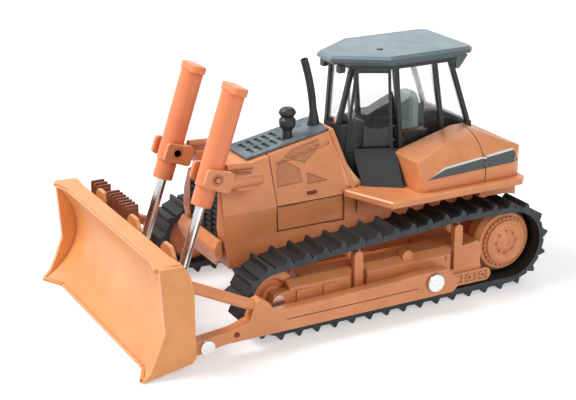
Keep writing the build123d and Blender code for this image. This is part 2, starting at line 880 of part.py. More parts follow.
def make_seat():
    """Driver's seat: pedestal, cushion and tall rounded back."""
    floor = cab_floor_z + cab_floor_thickness + seat_gap
    half = seat_half_width
    base = block(-half + 1.6, half - 1.6, seat_y - 4.0, seat_y, floor, seat_height - seat_cushion)
    rear = seat_y + seat_back_thickness
    cushion = block(-half, half, seat_y - 6.4, rear, seat_height - seat_cushion, seat_height)
    cushion = fillet(cushion.edges().group_by(Axis.Z)[-1], 0.6)
    height = seat_back_top - seat_height
    back = Pos(0, seat_y + seat_back_thickness / 2, seat_height + height / 2 - 0.5)
    back = back * Box(2 * half + 0.6, seat_back_thickness, height + 1.0)
    back = fillet(back.edges().filter_by(Axis.Y).group_by(Axis.Z)[-1], 2.6)
    back = fillet(back.faces().sort_by(Axis.Y)[0].edges().group_by(Axis.Z)[-1], 0.5)
    return base + cushion + back


def make_console():
    """Dashboard with its binnacle and lever, and the side consoles with armrests and levers."""
    floor = cab_floor_z + cab_floor_thickness + seat_gap
    dash = side_prism(
        [
            (dash_y, floor), (dash_y + dash_length, floor), (dash_y + dash_length, cab_bulkhead_top - 3.0),
            (dash_y + dash_length + 0.8, cab_bulkhead_top), (dash_y + 0.4, cab_bulkhead_top + 1.2),
            (dash_y, cab_bulkhead_top),
        ],
        -4.2,
        4.2,
    )
    pieces = [dash]
    outer = console_inner + console_width
    shelf = cab_sill_front + 1.4
    box = block(console_inner, outer, console_front, console_rear, floor, shelf)
    rest = block(console_inner, outer, console_front + 3.0, console_rear, shelf, shelf + 2.0)
    lever = bar(
        (console_inner + 1.2, console_front + 1.4, cab_sill_front + 1.2),
        (console_inner + 1.2, console_front + 0.4, cab_sill_front + 5.2),
        0.45,
    )
    side = box + rest + lever
    pieces.append(side)
    pieces.append(mirror(side, about=Plane.YZ))
    return Compound(pieces)


def cylinder_frame():
    """Plane at the yoke pivot whose Z runs up the lift cylinder."""
    eye = rod_eye()
    way = Vector(0, yoke_y - eye[0], yoke_z - eye[1])
    return Plane(origin=(cylinder_x, yoke_y, yoke_z), x_dir=(1, 0, 0), z_dir=way)


def rod_eye():
    """Rod eye centre (y, z) with the blade on the ground."""
    lean = radians(rod_lean)
    return yoke_y - rod_reach * sin(lean), yoke_z - rod_reach * cos(lean)


def make_barrel():
    """Lift cylinder barrel with its bore, narrower nose and side trunnions."""
    nose = Pos(0, 0, -barrel_below) * extrude(Circle(barrel_nose_radius), amount=barrel_below)
    tube = Pos(0, 0, -barrel_radius) * extrude(Circle(barrel_radius), amount=barrel_radius + barrel_above)
    depth = barrel_below + barrel_above - 0.4
    bore = Pos(0, 0, -barrel_below - 1) * extrude(Circle(barrel_bore), amount=depth)
    reach = yoke_gap() + yoke_arm_thickness
    trunnion = Pos(-reach, 0, 0) * Rot(0, 90, 0) * extrude(Circle(trunnion_radius), amount=2 * reach)
    return cylinder_frame() * ((nose + tube + trunnion) - bore)


def make_cap():
    """Flat rounded bar across the barrel's top."""
    cap = Box(cap_length, cap_width, cap_height, align=(Align.CENTER, Align.CENTER, Align.MIN))
    cap = fillet(cap.edges().filter_by(Axis.Z), cap_width / 2 - 0.4)
    cap = fillet(cap.faces().sort_by(Axis.Z)[-1].edges(), 0.4)
    return cylinder_frame() * Pos(0, 0, barrel_above + seat_gap) * cap


def make_rod():
    """Bright piston rod with its piston and lower eye."""
    length = rod_reach - barrel_below + rod_inside
    shaft = Pos(0, 0, -rod_reach) * extrude(Circle(rod_radius), amount=length)
    piston_z = length - rod_reach - piston_length
    piston = Pos(0, 0, piston_z) * extrude(Circle(barrel_bore - fit_gap / 2), amount=piston_length)
    eye = Pos(-eye_width / 2, 0, -rod_reach) * Rot(0, 90, 0) * extrude(Circle(eye_radius), amount=eye_width)
    hole = Pos(-eye_width, 0, -rod_reach) * Rot(0, 90, 0) * extrude(Circle(eye_hole), amount=2 * eye_width)
    return cylinder_frame() * (shaft + piston + eye - hole)


def make_yoke():
    """Forked trunnion bracket: two rounded cheeks, cross web, ridged bosses back along the hood."""
    gap = yoke_gap()
    outer = cylinder_x + gap
    inner = cylinder_x - gap
    cheek = side_prism(
        [
            (yoke_y - 2.2, yoke_z + 2.9), (yoke_y + 4.8, yoke_z + 1.0), (yoke_y + 3.2, yoke_z - 4.1),
            (yoke_y - 3.8, yoke_z - 1.4),
        ],
        outer,
        outer + yoke_arm_thickness,
    )
    cheek = fillet(cheek.edges().filter_by(Axis.X), yoke_corner)
    cheeks = cheek + Pos(inner - yoke_arm_thickness - outer, 0, 0) * cheek
    web_y = yoke_y + barrel_radius + 2.2
    web = side_prism(
        [
            (web_y, yoke_z - 0.4), (web_y, yoke_z - 3.0), (web_y + 0.6, yoke_z - 4.0),
            (yoke_rear, yoke_z - 4.4),
            (yoke_rear, yoke_z - 1.0), (web_y + 1.0, yoke_z - 0.4),
        ],
        inner - yoke_arm_thickness,
        outer + 0.4,
    )
    boss_x = outer + yoke_arm_thickness - yoke_boss_radius
    boss_z = yoke_z - 2.0
    boss = bar((boss_x, yoke_y + 3.6, boss_z), (boss_x, yoke_rear, boss_z), yoke_boss_radius)
    boss = boss + Pos(boss_x, yoke_rear, boss_z) * Sphere(yoke_boss_radius)
    ridge_x = cylinder_x - 0.6
    ridge_start = (ridge_x, yoke_y + 4.6, yoke_z + 0.8)
    ridge = bar(ridge_start, (ridge_x, yoke_rear, yoke_z + 0.4), yoke_boss_radius - 0.5)
    hole = pin(-far, far, yoke_y, yoke_z, trunnion_radius + fit_gap / 2)
    swing = cylinder_frame() * Pos(0, 0, -barrel_below - 2) * extrude(Circle(gap), amount=barrel_below + 14)
    return (cheeks + web + boss + ridge - hole) - hood_form(seat_gap, hood_foot) - swing


def blade_curve(back=0.0, sweep=0.0):
    """Foot, belly and lip of the mouldboard's face as (y, z), set back or swept forward."""
    return [
        (blade_front + back - sweep, edge_height / 2),
        (blade_belly + back - blade_belly_sweep * sweep, 0.42 * blade_height),
        (lip_front + back - lip_sweep * sweep, blade_height),
    ]


def blade_section(sweep, depth):
    """Curved plate section of the mouldboard, closed at the back."""
    foot, belly, lip = blade_curve(0.0, sweep)
    front = ThreePointArc(foot, belly, lip)
    back_top = (lip[0] + depth, lip[1])
    back_belly = (belly[0] + depth * 0.8, belly[1])
    back_foot = (foot[0] + depth, foot[1])
    back = ThreePointArc(back_top, back_belly, back_foot)
    return make_face(Wire([front, Line(lip, back_top), back, Line(back_foot, foot)]))


def make_mouldboard():
    """Semi-U mouldboard: straight middle, two wings swept forward, bevelled top lip."""
    fold = blade_fold_x
    tip = blade_half_width - end_plate_thickness
    middle = extrude(Plane.YZ.offset(-fold) * blade_section(0, blade_thickness), amount=2 * fold)
    start = Plane.YZ.offset(fold) * blade_section(0, blade_thickness)
    end = Plane.YZ.offset(tip) * blade_section(blade_sweep, blade_thickness)
    wing = loft([start, end])
    tip_lip = lip_front - lip_sweep * blade_sweep
    rear = lip_front + lip_depth
    plan = [
        (-tip, tip_lip), (-fold, lip_front), (fold, lip_front), (tip, tip_lip), (tip, rear + 0.6),
        (fold, rear),
        (-fold, rear), (-tip, rear + 0.6),
    ]
    lip = plan_prism(plan, blade_height - lip_thickness, blade_height)
    fronts = lip.faces().sort_by(Axis.Z)[-1].edges().group_by(Axis.Y)[:2]
    lip = chamfer([edge for group in fronts for edge in group], 0.6)
    return middle + wing + mirror(wing, about=Plane.YZ) + lip


def make_end_plate():
    """Side plate of the blade: hollow front edge, cut-back rear top corner, hooked foot."""
    x0 = blade_half_width - end_plate_thickness + seat_gap
    foot, belly, lip = blade_curve(-0.2, blade_sweep)
    rear = blade_back
    top = blade_height
    return side_prism(
        [
            (foot[0], 0.2), (rear - 1.0, 2.4), (rear, 3.4), (rear, top - 7.2), (rear - 1.0, top - 2.6),
            (rear - 2.4, top - 0.2), (lip[0] + 1.2, top), (belly[0] - 1.2, belly[1]), (foot[0] + 3.6, 5.4),
            (foot[0] + 2.0, 2.2),
        ],
        x0,
        blade_half_width,
    )


def make_edge():
    """Cutting edge along the blade's foot, with end bits that follow the wings."""
    front = blade_front - edge_thickness
    rest = blade_front - seat_gap
    middle = side_prism(
        [
            (front, 0), (rest + 0.9, 0), (rest + 0.9, edge_height / 2 - 0.05), (rest, edge_height / 2 - 0.05),
            (rest, edge_height), (front, edge_height),
        ],
        -blade_fold_x,
        blade_fold_x,
    )
    tip = blade_half_width - end_plate_thickness
    start = blade_fold_x + fit_gap
    bit = plan_prism(
        [(start, front), (tip, front - blade_sweep), (tip, rest + 0.8 - blade_sweep), (start, rest + 0.8)],
        0,
        edge_height,
    )
    bit = bit - make_mouldboard()
    return Compound([middle] + bit.solids() + mirror(bit, about=Plane.YZ).solids())


def make_push_arm():
    """Flat-bar push arm with the strut's ear, rounded pivot end, stepped nose and lightening hole."""
    inner = arm_outer - arm_thickness
    top = arm_top()
    rear = arm_pivot_y + arm_rear_reach
    profile = [
        (blade_back + 0.1, arm_low - 1.6), (arm_hole_y - 3.0, arm_low - 0.2), (rear + 1.6, arm_low),
        (rear + 3.0, arm_low + 1.2), (rear + 3.0, arm_low + 3.4), (rear, top + 0.9), (rear - 8.0, top + 1.1),
        (rear - 14.0, top + 0.6), (ear_y + 4.3, top - 0.4), (ear_y + 2.0, ear_top - 1.2), (ear_y, ear_top),
        (ear_y - 1.3, ear_top - 0.4), (ear_y - 3.0, top - 1.2), (arm_hole_y - 1.0, top - 2.6),
        (blade_back + 0.1, top - 3.6),
    ]
    arm = side_prism(profile, inner, arm_outer)
    rib_face = arm_outer - 0.35
    recess = side_prism(
        [
            (ear_y + 7.0, arm_low + 2.6), (rear - 9.0, arm_low + 2.8), (rear - 9.0, arm_low + 3.1),
            (ear_y + 7.0, arm_low + 2.9),
        ],
        rib_face,
        arm_outer + 1,
    )
    bore = pin(inner - 1, arm_outer + 1, arm_pivot_y, arm_pivot_z, rivet_radius + fit_gap)
    hole = pin(inner - 1, arm_outer + 1, arm_hole_y, arm_hole_z, arm_hole_radius)
    front_bore = pin(inner - 1, arm_outer + 1, arm_pin_y, arm_pin_z, arm_pin_radius + seat_gap)
    return arm - recess - bore - hole - front_bore


def make_strut():
    """Brace in line with the arm, from its ear up to the bracket on the blade's back."""
    middle = arm_outer - arm_thickness / 2
    start = (middle, ear_y - 0.8, strut_rear_z)
    end = (middle, blade_back + 0.1, strut_front_z)
    return bar(start, end, strut_radius) - make_push_arm()


def make_blade_pin():
    """Bright pin at the arm's front end."""
    inner = arm_outer - arm_thickness
    shank = pin(inner - 0.4, arm_outer + 0.4, arm_pin_y, arm_pin_z, arm_pin_radius)
    head_top = arm_outer + rivet_head_height
    return shank + pin(arm_outer + seat_gap, head_top, arm_pin_y, arm_pin_z, arm_pin_radius + 0.6)


def make_blade_brackets():
    """Frame on the blade's back: cross beam, eye lugs for the rods, strut seats and top ribs."""
    eye_y, eye_z = rod_eye()
    rear = blade_back - 0.2
    seat = blade_half_width - end_plate_thickness - fit_gap
    solid = block(-seat, seat, rear - 2.8, rear, beam_low, beam_low + beam_height)
    for x in (cylinder_x - eye_width / 2 - fit_gap, cylinder_x + eye_width / 2 + fit_gap + eye_ear):
        ear = side_prism(
            [
                (blade_belly - 2.4, beam_low - 1.6), (eye_y + 2.2, eye_z - 2.6), (eye_y + 2.2, eye_z + 1.4),
                (eye_y + 1.2, eye_z + 2.4), (blade_belly + 0.6, eye_z + 4.0),
            ],
            x - eye_ear,
            x,
        )
        solid = solid + ear + mirror(ear, about=Plane.YZ)
    reach = eye_width / 2 + fit_gap + 0.2
    eye_bar = pin(cylinder_x - reach, cylinder_x + reach, eye_y, eye_z, eye_pin)
    strut_seat = block(
        arm_outer - arm_thickness, arm_outer, blade_belly, rear - strut_radius,
        strut_front_z - 3.0, strut_front_z + 2.0,
    )
    solid = solid + eye_bar + mirror(eye_bar, about=Plane.YZ)
    solid = solid + strut_seat + mirror(strut_seat, about=Plane.YZ)
    crown = blade_height - lip_thickness - seat_gap
    high = crown - 0.3
    low = crown - lug_height
    lug_width = lug_ribs * lug_pitch
    for x in (cylinder_x + eye_radius, cylinder_x + eye_radius + lug_width + 1.0):
        lug = block(x, x + lug_width, blade_belly, rear - 2.2, low, high)
        for index in range(lug_ribs):
            x0 = x + index * lug_pitch
            lug = lug + block(x0, x0 + lug_pitch / 2, blade_belly, rear - 1.6, low, high)
        solid = solid + lug + mirror(lug, about=Plane.YZ)
    return solid - mouldboard_cutter()


def mouldboard_cutter():
    """Everything in front of the mouldboard's back face."""
    foot, belly, lip = blade_curve(blade_thickness + seat_gap)
    belly = (belly[0] - 0.2 * blade_thickness, belly[1])
    arc = ThreePointArc(foot, belly, lip)
    corner_top = (lip[0] - far, lip[1])
    corner_low = (foot[0] - far, foot[1])
    face = make_face(Wire([arc, Line(lip, corner_top), Line(corner_top, corner_low), Line(corner_low, foot)]))
    return extrude(Plane.YZ.offset(-far) * face, amount=2 * far)


def make_hitch():
    """Rear drawbar bracket with its pin hole."""
    front = chassis_rear + seat_gap
    jaw = plan_prism(
        [(-hitch_half_width, front), (hitch_half_width, front), (hitch_half_width - 0.6, hitch_rear),
         (0.6 - hitch_half_width, hitch_rear)],
        hitch_z - hitch_height / 2,
        hitch_z + hitch_height / 2,
    )
    slot = block(-far, far, front + 1.6, hitch_rear + 1, hitch_z - hitch_slot / 2, hitch_z + hitch_slot / 2)
    hole = extrude(Circle(hitch_pin_radius), amount=2 * hitch_height)
    hole = Pos(0, hitch_pin_y, hitch_z - hitch_height) * hole
    drive = pin(-far, far, *wheel_centre(1), drive_radius + seat_gap)
    return jaw - slot - hole - drive


def wheel(profile, y, z):
    """Turned piece from (x, radius) points about an axle along X."""
    points = [(x, z + radius) for x, radius in profile]
    face = Plane(origin=(0, y, 0), x_dir=(1, 0, 0), z_dir=(0, -1, 0)) * outline(points)
    return revolve(face, axis=Axis((0, y, z), (1, 0, 0)))


def frame_section(y0, y1, x0):
    """Stretch of the frame's box with its sloped top, from an x station outwards."""
    box = front_prism(
        [
            (frame_inner, frame_foot), (frame_outer, frame_foot), (frame_outer, frame_top),
            (frame_outer - 2.2, frame_top + frame_slope), (frame_inner, frame_top + frame_slope),
        ],
        y0,
        y1,
    )
    return box & block(x0, frame_outer, y0, y1, 0, far)


def make_roller_guard():
    """Lower guard plate with its rounded end and embossed roller heads."""
    face = frame_outer
    outer = face + guard_thickness
    end_radius = guard_height / 2
    middle = guard_foot + end_radius
    plate = block(face, outer, guard_front, guard_rear, guard_foot, guard_foot + guard_height)
    solid = plate + pin(face, outer, guard_rear, middle, end_radius)
    skin = outer - guard_relief
    low, high = guard_foot + 0.6, guard_foot + guard_height - 0.6
    solid = solid - block(skin, outer + 1, guard_front + 1.0, guard_rear + 0.4, low, high)
    count = int((guard_rear - guard_front) / roller_pitch)
    for index in range(count):
        y = guard_rear - 0.8 - index * roller_pitch
        rib_y = y - roller_pitch / 2
        boss = pin(skin, outer, y, middle, end_radius - 0.7)
        solid = solid + boss + block(skin, outer, rib_y - 0.25, rib_y + 0.25, low, high)
        solid = solid - pin(skin - 0.2, outer + 1, y, middle, 0.4)
    return solid


def hood_form(grow, foot):
    """Outer form of the hood, grown by a clearance: sides that lean in above the crease, sloped top."""
    half = hood_half_width + grow
    top = hood_top_half + grow
    body = front_prism(
        [
            (-half, foot), (half, foot), (half, hood_crease), (top, hood_top_rear + grow),
            (-top, hood_top_rear + grow), (-half, hood_crease),
        ],
        hood_front - grow,
        hood_rear_foot,
    )
    nose = hood_front + hood_nose_set_back
    side = side_prism(
        [
            (hood_front + 1.6, foot), (hood_rear_foot, foot), (hood_rear_foot, hood_crease),
            (hood_rear_top, hood_top_rear + grow), (nose, hood_top(nose) + grow),
            (hood_front + 0.6 - grow, hood_crease + hood_nose_drop + grow), (hood_front - grow, foot + 10.0),
        ],
        -half,
        half,
    )
    return body & side


def hood_seams():
    """Shallow panel lines, recessed lower panel and slot of both hood sides."""
    outer = hood_half_width + 1.0
    skin = hood_half_width - seam_depth
    rear = pocket_rear
    half = seam_width / 2
    pocket = side_prism(
        [
            (seam_y + 0.6, pocket_foot), (rear, pocket_foot + 0.4), (rear, pocket_top),
            (seam_y + 0.6, pocket_top),
        ],
        skin,
        outer,
    )
    upright = block(0, outer, seam_y - half, seam_y + half, pocket_foot, hood_top_rear)
    rear_seam = block(0, outer, rear + 3.0, rear + 3.0 + seam_width, hood_foot, hood_crease)
    waist = block(0, outer, seam_y, rear, hood_crease - half, hood_crease + half)
    tilt = degrees(atan2(hood_slope, 1))
    slot_y = (seam_y + hood_rear_top) / 2
    slot = Rot(tilt, 0, 0) * Box(2 * outer, rear - seam_y - 3.0, 0.8)
    slot = Pos(0, slot_y, hood_top(slot_y) - slot_drop) * slot
    lines = upright + rear_seam + waist + slot
    inside = hood_form(-seam_depth, hood_foot - 1.0)
    return pocket + mirror(pocket, about=Plane.YZ) + ((lines + mirror(lines, about=Plane.YZ)) - inside)


def shoulder(half, wall_top, crown_half, crown):
    """Closed (across, up) outline: upright walls, round shoulders, flat crown."""
    low = deck_top + seat_gap
    bulge = (half - 0.27 * (half - crown_half), wall_top + 0.6 * (crown - wall_top))
    right = ThreePointArc((half, wall_top), bulge, (crown_half, crown))
    left = ThreePointArc((-crown_half, crown), (-bulge[0], bulge[1]), (-half, wall_top))
    edges = [
        Line((-half, low), (half, low)), Line((half, low), (half, wall_top)), right,
        Line((crown_half, crown), (-crown_half, crown)), left, Line((-half, wall_top), (-half, low)),
    ]
    return make_face(Wire(edges))


def panel(foot_a, foot_b, head_a, head_b, depth):
    """Flat leaf between a foot edge and a head edge, thickened towards its back."""
    a, b, c, d = (Vector(*point) for point in (foot_a, foot_b, head_a, head_b))
    back = (b - a).cross(c - a).normalized() * -depth
    foot = make_face(Polyline(a, b, b + back, a + back, close=True))
    head = make_face(Polyline(c, d, d + back, c + back, close=True))
    return loft([foot, head], ruled=True)


def between(a, b, share):
    """Point part of the way from a to b."""
    return tuple(p + share * (q - p) for p, q in zip(a, b))


def cab_corners():
    """Foot and head of each upright on the left side, nose first, on the outer faces."""
    half = cab_half_width
    top = cab_top_half_width
    return {
        "nose": (
            (cab_nose_half_width, cab_nose_y, cab_bulkhead_top),
            (cab_top_nose_half_width, cab_top_nose_y, cab_top),
        ),
        "side": ((half, cab_side_y, cab_sill_front), (top, cab_top_side_y, cab_top)),
        "middle": (
            (half, cab_middle_post_y, sill_height(cab_middle_post_y)),
            (top, cab_middle_head_y, cab_top),
        ),
        "rear": ((half, cab_rear_y, cab_sill_rear), (top, cab_top_rear_y, cab_top)),
    }


def sill_height(y):
    """Height of the window sill along the cab's side."""
    share = (y - cab_side_y) / (cab_rear_y - cab_side_y)
    return cab_sill_front + share * (cab_sill_rear - cab_sill_front)


def make_door():
    """Left door: smooth lower panel and slim frame round its window, a gap ahead of the post."""
    corners = cab_corners()
    nose_low = (cab_nose_half_width, cab_nose_y, cab_floor_z + door_foot)
    side_low = (cab_half_width, cab_side_y, cab_floor_z + door_foot)
    head_nose, head_side = corners["nose"][1], corners["side"][1]
    rim = door_margin / (cab_side_y - cab_nose_y)
    lead, trail = 2.2 * rim, 1 - rim
    lift = cab_top - post - seat_gap
    rise = (lift - cab_floor_z - door_foot) / (cab_top - cab_floor_z - door_foot)
    top_nose = between(nose_low, head_nose, rise)
    top_side = between(side_low, head_side, rise)
    low_a, low_b = between(nose_low, side_low, lead), between(nose_low, side_low, trail)
    top_a, top_b = between(top_nose, top_side, lead), between(top_nose, top_side, trail)
    leaf = panel(low_a, low_b, top_a, top_b, -door_thickness)
    sill = (cab_sill_front - 0.6 - cab_floor_z - door_foot) / (lift - cab_floor_z - door_foot)
    sill_a, sill_b = between(low_a, top_a, sill), between(low_b, top_b, sill)
    frame_share = door_bar / (cab_side_y - cab_nose_y)
    hole_low = between(sill_a, sill_b, frame_share), between(sill_a, sill_b, 1 - frame_share)
    hole_top = between(top_a, top_b, 1.5 * frame_share), between(top_a, top_b, 1 - 1.5 * frame_share)
    drop = door_bar / (lift - cab_sill_front)
    hole_head = [between(b, t, 1 - drop) for b, t in zip(hole_low, hole_top)]
    hole = panel(*hole_low, *hole_head, -3 * door_thickness)
    hole_back = panel(*hole_low, *hole_head, 3 * door_thickness)
    clear = plan_prism(cab_plan(-seat_gap), cab_floor_z - 1, cab_sill_front)
    hinge_low = between(low_b, top_b, 0.16)
    hinge = Pos(*hinge_low) * Cylinder(0.45, 1.6)
    return leaf - hole - hole_back - clear + (hinge - clear)


def make_windows():
    """Clear panes between the posts, set behind the frame's outer faces."""
    corners = cab_corners()
    inset = (post - pane_thickness) / 2
    frame = make_cab_frame()
    panes = []
    names = ("side", "middle", "rear")
    for first, second in zip(names, names[1:]):
        (fa, ha), (fb, hb) = corners[first], corners[second]
        shift = door_gap + post if first == "side" else 0
        points = [
            (fa[0] - inset, fa[1] + shift, fa[2] - 0.4), (fb[0] - inset, fb[1], fb[2] - 0.4),
            (ha[0] - inset, ha[1] + shift, ha[2] - post / 2), (hb[0] - inset, hb[1], hb[2] - post / 2),
        ]
        panes.append(panel(*points, pane_thickness))
    (nose_foot, nose_head), (side_foot, side_head) = corners["nose"], corners["side"]
    floor_nose = (nose_foot[0], nose_foot[1], cab_sill_front)
    share = post / (cab_side_y - cab_nose_y)
    low_a, low_b = between(floor_nose, side_foot, share), between(floor_nose, side_foot, 1 - share)
    top_a, top_b = between(nose_head, side_head, 1.4 * share), between(nose_head, side_head, 1 - 1.4 * share)
    inward = [(x - inset, y + inset / 2, z - 0.5) for x, y, z in (low_a, low_b, top_a, top_b)]
    panes.append(panel(*inward, pane_thickness))
    panes = panes + [mirror(pane, about=Plane.YZ) for pane in panes]
    for key, sign in (("nose", 1), ("rear", -1)):
        (x0, y0, z0), (x1, y1, z1) = corners[key]
        points = [
            (-x0 + post / 2, y0 + sign * inset, z0 - 0.4), (x0 - post / 2, y0 + sign * inset, z0 - 0.4),
            (-x1 + post / 2, y1 + sign * inset, z1 - post / 2),
            (x1 - post / 2, y1 + sign * inset, z1 - post / 2),
        ]
        panes.append(panel(*points, sign * pane_thickness))
    cut = []
    for pane in panes:
        solids = (pane - frame).solids()
        cut.append(max(solids, key=lambda solid: solid.volume))
    return Compound(cut)


def roof_plan(inset):
    """Roof outline in plan, drawn in by an inset."""
    half = roof_half_width - inset
    nose = roof_nose_half_width - 0.5 * inset
    front = roof_front + inset
    rear = roof_rear - inset
    corner = roof_corner
    return [
        (-nose, front), (nose, front), (half, roof_side_y + 0.5 * inset), (half, rear - corner),
        (half - corner, rear), (-half + corner, rear), (-half, rear - corner),
        (-half, roof_side_y + 0.5 * inset),
    ]


def make_lamps():
    """Work lamps hung under the roof's front and rear edges."""
    size = lamp_size
    lamps = []
    top = cab_top - seat_gap
    front = (cab_top_nose_half_width - 1.6, roof_front + 2.6)
    rear = (cab_top_half_width - 3.4, cab_top_rear_y + 3.2)
    for x, y in (front, rear):
        shell = Pos(x, y, top - size / 2) * Box(size, size * 0.8, size)
        shell = fillet(shell.edges().filter_by(Axis.Y), 0.5)
        lamps.append(shell)
        lamps.append(mirror(shell, about=Plane.YZ))
    return Compound(lamps)


def yoke_gap():
    """Distance from the barrel's axis to either cheek of its yoke."""
    return barrel_radius + fit_gap


def arm_top():
    """Height of the arm's upper edge along its straight middle."""
    return arm_low + arm_height


def track_envelope(grow):
    """Space swept by the loop's grousers on both sides, grown by a clearance."""
    reach = belt_thickness + shoe_thickness + grouser_height + grow
    face = make_face(belt_wire(track_circles(), reach))
    return extrude(Plane.YZ.offset(-far) * face, amount=2 * far)


def roller_channel(y0, y1):
    """Room for the track rollers between the frame's walls."""
    return block(frame_inner + frame_wall, frame_outer - frame_wall, y0, y1, 0, roller_top + fit_gap)


def insert_middle():
    """Station of the lid's middle, its rear end just ahead of the hood's rear edge."""
    return hood_rear_top - insert_margin - insert_length / 2


def save(name, shape):
    """Write one sub-part."""
    export_step(shape, os.path.join(OUT, name + ".step"))


def main():
    os.makedirs(OUT, exist_ok=True)
    pieces = {}
    sided = {
        "track": make_track(), "sprocket": make_sprocket(), "idler": make_idler(),
        "idler_axle": make_idler_axle(), "track_frame": make_track_frame(), "carrier_rollers": make_carriers(),
        "arm_rivet": make_arm_rivet(), "push_arm": make_push_arm(), "strut": make_strut(),
        "blade_pin": make_blade_pin(), "blade_end": make_end_plate(), "cylinder": make_barrel(),
        "cylinder_cap": make_cap(), "rod": make_rod(), "yoke": make_yoke(),
        "door": make_door(),
    }
    for name, solid in sided.items():
        for side, copy in both_sides(solid).items():
            pieces[name + "_" + side] = copy
    left_tank, right_tank, rear_shell = make_tanks()
    pieces.update({
        "chassis": make_chassis(), "underdeck": make_underdeck(), "deck": make_deck(),
        "tank_left": left_tank, "tank_right": right_tank, "rear_shell": rear_shell,
        "hood": make_hood(), "hood_insert": make_hood_insert(), "grille": make_grille(),
        "front_guard": make_front_guard(), "exhaust_stack": make_stack(), "air_intake": make_intake(),
        "cab_frame": make_cab_frame(), "cab_roof": make_roof(), "windows": make_windows(),
        "work_lamps": make_lamps(), "seat": make_seat(), "console": make_console(),
        "mouldboard": make_mouldboard(), "cutting_edge": make_edge(), "blade_brackets": make_blade_brackets(),
        "hitch": make_hitch(),
    })
    for name, shape in pieces.items():
        save(name, shape)


main()
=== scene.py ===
"""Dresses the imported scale-model bulldozer: finishes, small fittings, floor, light and camera."""

import logging
import math
from dataclasses import dataclass, field
from enum import Enum

import bmesh
import bpy
from mathutils import Matrix, Vector
from mathutils.bvhtree import BVHTree

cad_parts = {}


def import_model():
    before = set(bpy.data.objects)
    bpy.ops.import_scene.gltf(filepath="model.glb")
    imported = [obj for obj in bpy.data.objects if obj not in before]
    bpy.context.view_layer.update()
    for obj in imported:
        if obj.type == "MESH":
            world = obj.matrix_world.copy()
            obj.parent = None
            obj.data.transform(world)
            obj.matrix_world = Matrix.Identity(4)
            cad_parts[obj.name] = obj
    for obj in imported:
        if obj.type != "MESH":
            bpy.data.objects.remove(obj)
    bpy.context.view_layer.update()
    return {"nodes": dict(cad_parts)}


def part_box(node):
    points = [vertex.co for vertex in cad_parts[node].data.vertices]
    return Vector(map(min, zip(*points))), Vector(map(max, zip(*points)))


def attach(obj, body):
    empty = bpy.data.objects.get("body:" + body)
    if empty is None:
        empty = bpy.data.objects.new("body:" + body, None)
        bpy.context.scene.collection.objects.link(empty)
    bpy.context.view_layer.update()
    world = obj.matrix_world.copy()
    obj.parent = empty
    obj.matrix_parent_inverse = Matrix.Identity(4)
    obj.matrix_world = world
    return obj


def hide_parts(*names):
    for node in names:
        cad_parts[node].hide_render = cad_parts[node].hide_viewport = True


LOG = logging.getLogger("bulldozer")
MM = 0.001
SIDES = ((1, "left"), (-1, "right"))
# distance from the middle plane at which rays start towards the model, in metres
OUTSIDE = 0.08
# ranges of the shading values: sideways turn, cloud, edge match, openness and corner
FLANK_REACH = (0.55, 0.8)
CLOUD_REACH = (0.4, 0.68)
EDGE_REACH = (0.985, 0.9)
OPEN_REACH = (0.6, 0.95)
CORNER_REACH = (0.75, 0.15)

Outline = list[tuple[float, float]]


class Body(Enum):
    """Rigid bodies of the model, by their names in the frame."""

    MACHINE = "machine"
    BLADE = "blade"
    BARREL_LEFT = "barrel_left"
    BARREL_RIGHT = "barrel_right"
    ROD_LEFT = "rod_left"
    ROD_RIGHT = "rod_right"


def linear(hex_colour: str) -> tuple[float, float, float, float]:
    """Turn an sRGB hex colour into Blender's linear colour.

    Args:
        hex_colour: six hex digits, without a mark in front.

    Returns:
        Red, green, blue and alpha as linear values.
    """
    parts = [int(hex_colour[i : i + 2], 16) / 255 for i in (0, 2, 4)]
    red, green, blue = [c / 12.92 if c <= 0.04045 else ((c + 0.055) / 1.055) ** 2.4 for c in parts]
    return red, green, blue, 1.0


def add_node(tree: bpy.types.NodeTree, kind: str, settings: dict | None = None, **links) -> bpy.types.Node:
    """Add a node with its settings and its input values or links.

    Args:
        tree: the tree that gets the node.
        kind: Blender's name of the node type.
        settings: attributes to set on the node.
        **links: values or output sockets for inputs, keyed by the input's name with spaces as underscores,
            or by in followed by its number.

    Returns:
        The new node.
    """
    node = tree.nodes.new(kind)
    for key, value in (settings or {}).items():
        setattr(node, key, value)
    for key, value in links.items():
        if key.startswith("in") and key[2:].isdigit():
            socket = node.inputs[int(key[2:])]
        else:
            socket = node.inputs[key.replace("_", " ")]
        if isinstance(value, bpy.types.NodeSocket):
            tree.links.new(value, socket)
        else:
            socket.default_value = value
    return node


def start_material(name: str) -> tuple[bpy.types.Material, bpy.types.ShaderNode, bpy.types.NodeSocket]:
    """Make a material with its shader and a place socket that is fixed to the piece.

    Args:
        name: the material's name.

    Returns:
        The material, its shader node and the socket of object coordinates.
    """
    material = bpy.data.materials.new(name)
    material.use_nodes = True
    place = add_node(material.node_tree, "ShaderNodeTexCoord").outputs["Object"]
    return material, material.node_tree.nodes["Principled BSDF"], place


